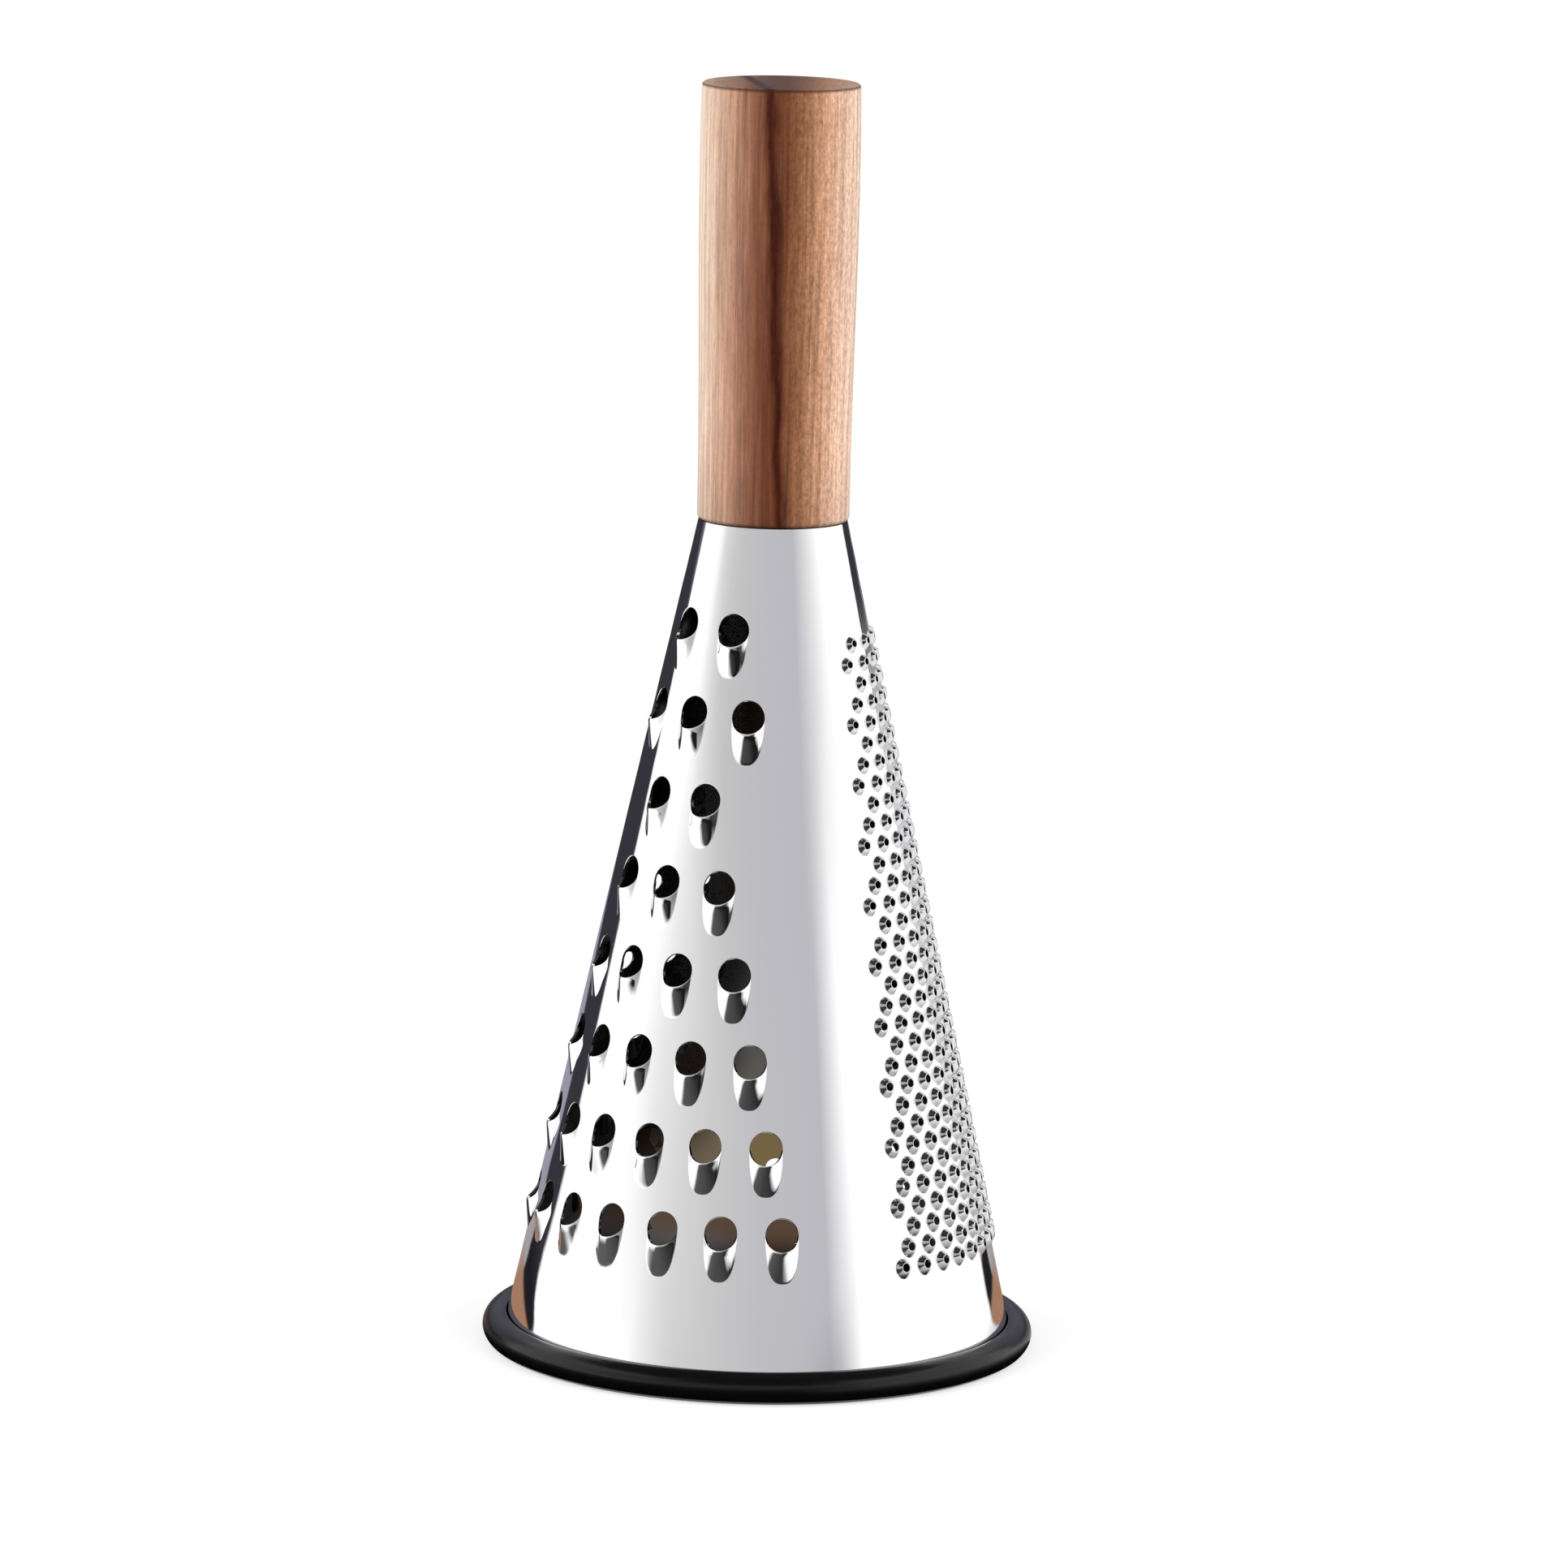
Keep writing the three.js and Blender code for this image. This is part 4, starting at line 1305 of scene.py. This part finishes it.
# The wall: a low dark part and a dim band in front, each by azimuth, and a dark foot behind
WALL_DISTANCE = 1.6
WALL_HEIGHTS = (0.0, 0.03, 0.06, 0.09, 0.12, 0.15, 0.18, 0.2, 0.24, 0.29, 0.4, 0.5, 0.9, 1.1, 1.8)
WALL_LOW_TO = (0.2, 0.29)  # heights over which the low part becomes the band
WALL_UPPER_FROM = (0.4, 0.5)
WALL_HIGH_FROM = (0.9, 1.1)
BAND_GREY = linear(190, 189, 194)
WALL_LOW = (
    (-60, CARD_WHITE), (-35, grey(195)), (0, grey(150)),
    (20, grey(50)), (38, grey(80)), (49, CARD_WHITE),
)
WALL_BAND = (
    (-80, CARD_WHITE), (-64, grey(238)), (-42, grey(218)), (-20, grey(203)),
    (0, linear(195, 194, 198)), (34, BAND_GREY), (49, CARD_WHITE),
)
WALL_UPPER = (
    (-86, CARD_WHITE), (-75, grey(224)), (-57, grey(206)), (-40, grey(198)),
    (0, linear(192, 191, 196)), (30, BAND_GREY), (52, grey(232)), (69, CARD_WHITE),
)
WALL_HIGH = ((-64, CARD_WHITE), (-30, DARK), (38, DARK), (49, CARD_WHITE))
WALL_FOOT_TURNS = (127, 157)  # the light foot of the wall on the right gets lower towards the back
WALL_FOOT_HEIGHTS = (0.2, 0.026)
WALL_FOOT_BLUR = 0.015


def wall_tone(azimuth, _distance, height):
    turn = abs(azimuth)
    if turn > 90:
        gap_from = (RIGHT if azimuth > 0 else LEFT)["gap_from"][-1]
        foot = BLACK
        if azimuth > 0:
            limit = np.interp(turn, WALL_FOOT_TURNS, WALL_FOOT_HEIGHTS)
            foot = blended(LIGHT, BLACK, height, limit - WALL_FOOT_BLUR, limit)
        behind = blended(foot, PALE, height, *WALL_LOW_TO)
        behind = blended(behind, CARD_WHITE, height, *WALL_HIGH_FROM)
        return blended(CARD_WHITE, behind, turn, gap_from - GAP_BLUR, gap_from)
    band = blended(stepped(azimuth, WALL_BAND), stepped(azimuth, WALL_UPPER), height, *WALL_UPPER_FROM)
    tone = blended(stepped(azimuth, WALL_LOW), band, height, *WALL_LOW_TO)
    return blended(tone, stepped(azimuth, WALL_HIGH), height, *WALL_HIGH_FROM)


# The floor inside the cone as a painted reflection of light through the holes, with painted shade
# towards the back and sides
INNER_ROWS = 14
INNER_REACH = 0.049
INNER_OLIVE = (1.2, 0.86, 0.34, 1)
INNER_TAUPE = (1.2, 0.95, 0.74, 1)
INNER_TAUPE_FROM = (0.004, 0.008)
INNER_GREY = grey(206)
INNER_GREY_TO = (-0.02, 0.0)
INNER_GREY_FROM = (0.0405, 0.0425)
INNER_BROWN = linear(198, 160, 134)
INNER_BROWN_FROM = (0.015, 0.03)
# painted shade towards the back and the sides of the inner floor
INNER_DARK = linear(40, 22, 18)
INNER_DARK_FROM = (0.039, 0.043)
INNER_HALF_WIDTH = (0.008, 0.018)


def inner_tone(azimuth, distance, _height):
    """Painted reflection of the floor inside the cone, which the lower holes show by way of the back
    wall, with painted shade towards its back and sides.
    """
    turn = math.radians(azimuth)
    x, y = distance * math.sin(turn), -distance * math.cos(turn)
    tone = blended(INNER_OLIVE, INNER_TAUPE, x, *INNER_TAUPE_FROM)
    tone = blended(INNER_GREY, tone, y, *INNER_GREY_TO)
    tone = blended(tone, INNER_BROWN, y, *INNER_BROWN_FROM)
    tone = blended(tone, INNER_GREY, y - x, *INNER_GREY_FROM)
    tone = blended(tone, INNER_DARK, y, *INNER_DARK_FROM)
    return blended(tone, INNER_DARK, abs(x), *INNER_HALF_WIDTH)


def ceiling_tone(_azimuth, _distance, _height):
    return CEILING_GREY


CEILING_HEIGHT = 1.8
CEILING_RADIUS = 1.6


def make_cards():
    material = toned_material()
    distances = np.geomspace(*FLOOR_CARD_REACH, FLOOR_CARD_ROWS)
    radii = np.linspace(0, INNER_REACH, INNER_ROWS)
    ceiling = [(0.0, CEILING_HEIGHT), (CEILING_RADIUS, CEILING_HEIGHT)]
    painted_reflection_card("floor_reflection_card", [(d, FLOOR_CARD_HEIGHT) for d in distances], floor_tone, material)
    painted_reflection_card("wall_reflection_card", [(WALL_DISTANCE, height) for height in WALL_HEIGHTS], wall_tone, material)
    painted_reflection_card("inner_reflection_card", [(d, FLOOR_CARD_HEIGHT) for d in radii], inner_tone, material)
    painted_reflection_card("ceiling_reflection_card", ceiling, ceiling_tone, material)


BOX_SIZE = (1.9, 1.4)
BOX_POWER = 16
BOX_PLACE = (0.9, -0.3, 0.75)  # of the right one
BOX_TARGET = (0, 0, 0.15)


def soft_box(name, side):
    light = bpy.data.lights.new(name, "AREA")
    light.shape = "RECTANGLE"
    light.size, light.size_y = BOX_SIZE
    light.energy = BOX_POWER
    thing = bpy.data.objects.new(name, light)
    bpy.context.scene.collection.objects.link(thing)
    thing.location = (side * BOX_PLACE[0], *BOX_PLACE[1:])
    thing.rotation_euler = (Vector(BOX_TARGET) - thing.location).to_track_quat("-Z", "Y").to_euler()
    thing.visible_camera = False
    thing.visible_glossy = False


WORLD_LIGHT = 0.6


def make_world():
    world = bpy.data.worlds.new("studio")
    bpy.context.scene.world = world
    world.use_nodes = True
    nodes = Nodes(world.node_tree)
    background = world.node_tree.nodes["Background"]
    background.inputs["Color"].default_value = (1, 1, 1, 1)
    strength = nodes.ranged(seen_background(nodes), 0, 1, WORLD_LIGHT, 1)
    nodes.feed(background.inputs["Strength"], strength)


def make_stage():
    make_floor()
    make_world()
    make_cards()
    soft_box("left_box", -1)
    soft_box("right_box", 1)


# Camera fitted to the photograph, in its frame of 1932 by 1932 pixels
PHOTO_SIZE = 1932
FOCAL_PIXELS = 10417.5
AXIS_PIXEL = (946.0, 968.1)
CAMERA_PLACE = (0, -1686.7, 412.8)
CAMERA_PITCH = 10.0  # degrees downwards
CAMERA_ROLL = 1.148  # degrees by which the object leans clockwise in the picture
SENSOR_WIDTH = 36
CLIP_DISTANCES = (0.05, 50)


def make_camera():
    data = bpy.data.cameras.new("camera")
    camera = bpy.data.objects.new("camera", data)
    bpy.context.scene.collection.objects.link(camera)
    data.sensor_width = SENSOR_WIDTH
    data.lens = FOCAL_PIXELS * SENSOR_WIDTH / PHOTO_SIZE
    data.shift_x = (PHOTO_SIZE / 2 - AXIS_PIXEL[0]) / PHOTO_SIZE
    data.shift_y = (AXIS_PIXEL[1] - PHOTO_SIZE / 2) / PHOTO_SIZE
    data.clip_start, data.clip_end = CLIP_DISTANCES
    pitch, roll = math.radians(CAMERA_PITCH), math.radians(CAMERA_ROLL)
    turned = Matrix.Rotation(math.pi / 2 - pitch, 4, "X") @ Matrix.Rotation(roll, 4, "Z")
    camera.matrix_world = Matrix.Translation(Vector(CAMERA_PLACE) * MM) @ turned
    bpy.context.scene.camera = camera


def make_object():
    points, faces, normals, sides = cone_mesh()
    steel = polished_steel()
    cone = make_piece("cone_skin", points, faces, normals, steel, "polished_steel", "grater_cone")
    mark_faces(cone, "inside", sides)
    ring = revolve(ring_runs(), RING_STEPS)
    make_piece("rubber_ring", *ring, black_rubber(), "black_rubber", "base_ring")
    grip = revolve(handle_runs(), HANDLE_STEPS)
    make_piece("wood_grip", *grip, handle_wood(), "handle_wood", "handle")
    plate = worked_steel("plate_steel", PLATE_COLOUR, PLATE_ROUGHNESS)
    make_piece("inner_plate", *revolve(plate_runs(), PLATE_STEPS), plate, "plate_steel", "end_plate")
    points, faces = screw_mesh()
    screw = worked_steel("screw_steel", SCREW_COLOUR, SCREW_ROUGHNESS)
    normals = corner_normals(points, faces)
    make_piece("wood_screw", points, faces, normals, screw, "screw_steel", "handle_screw")


bpy.context.scene.view_settings.view_transform = "Standard"
make_object()
make_stage()
make_camera()
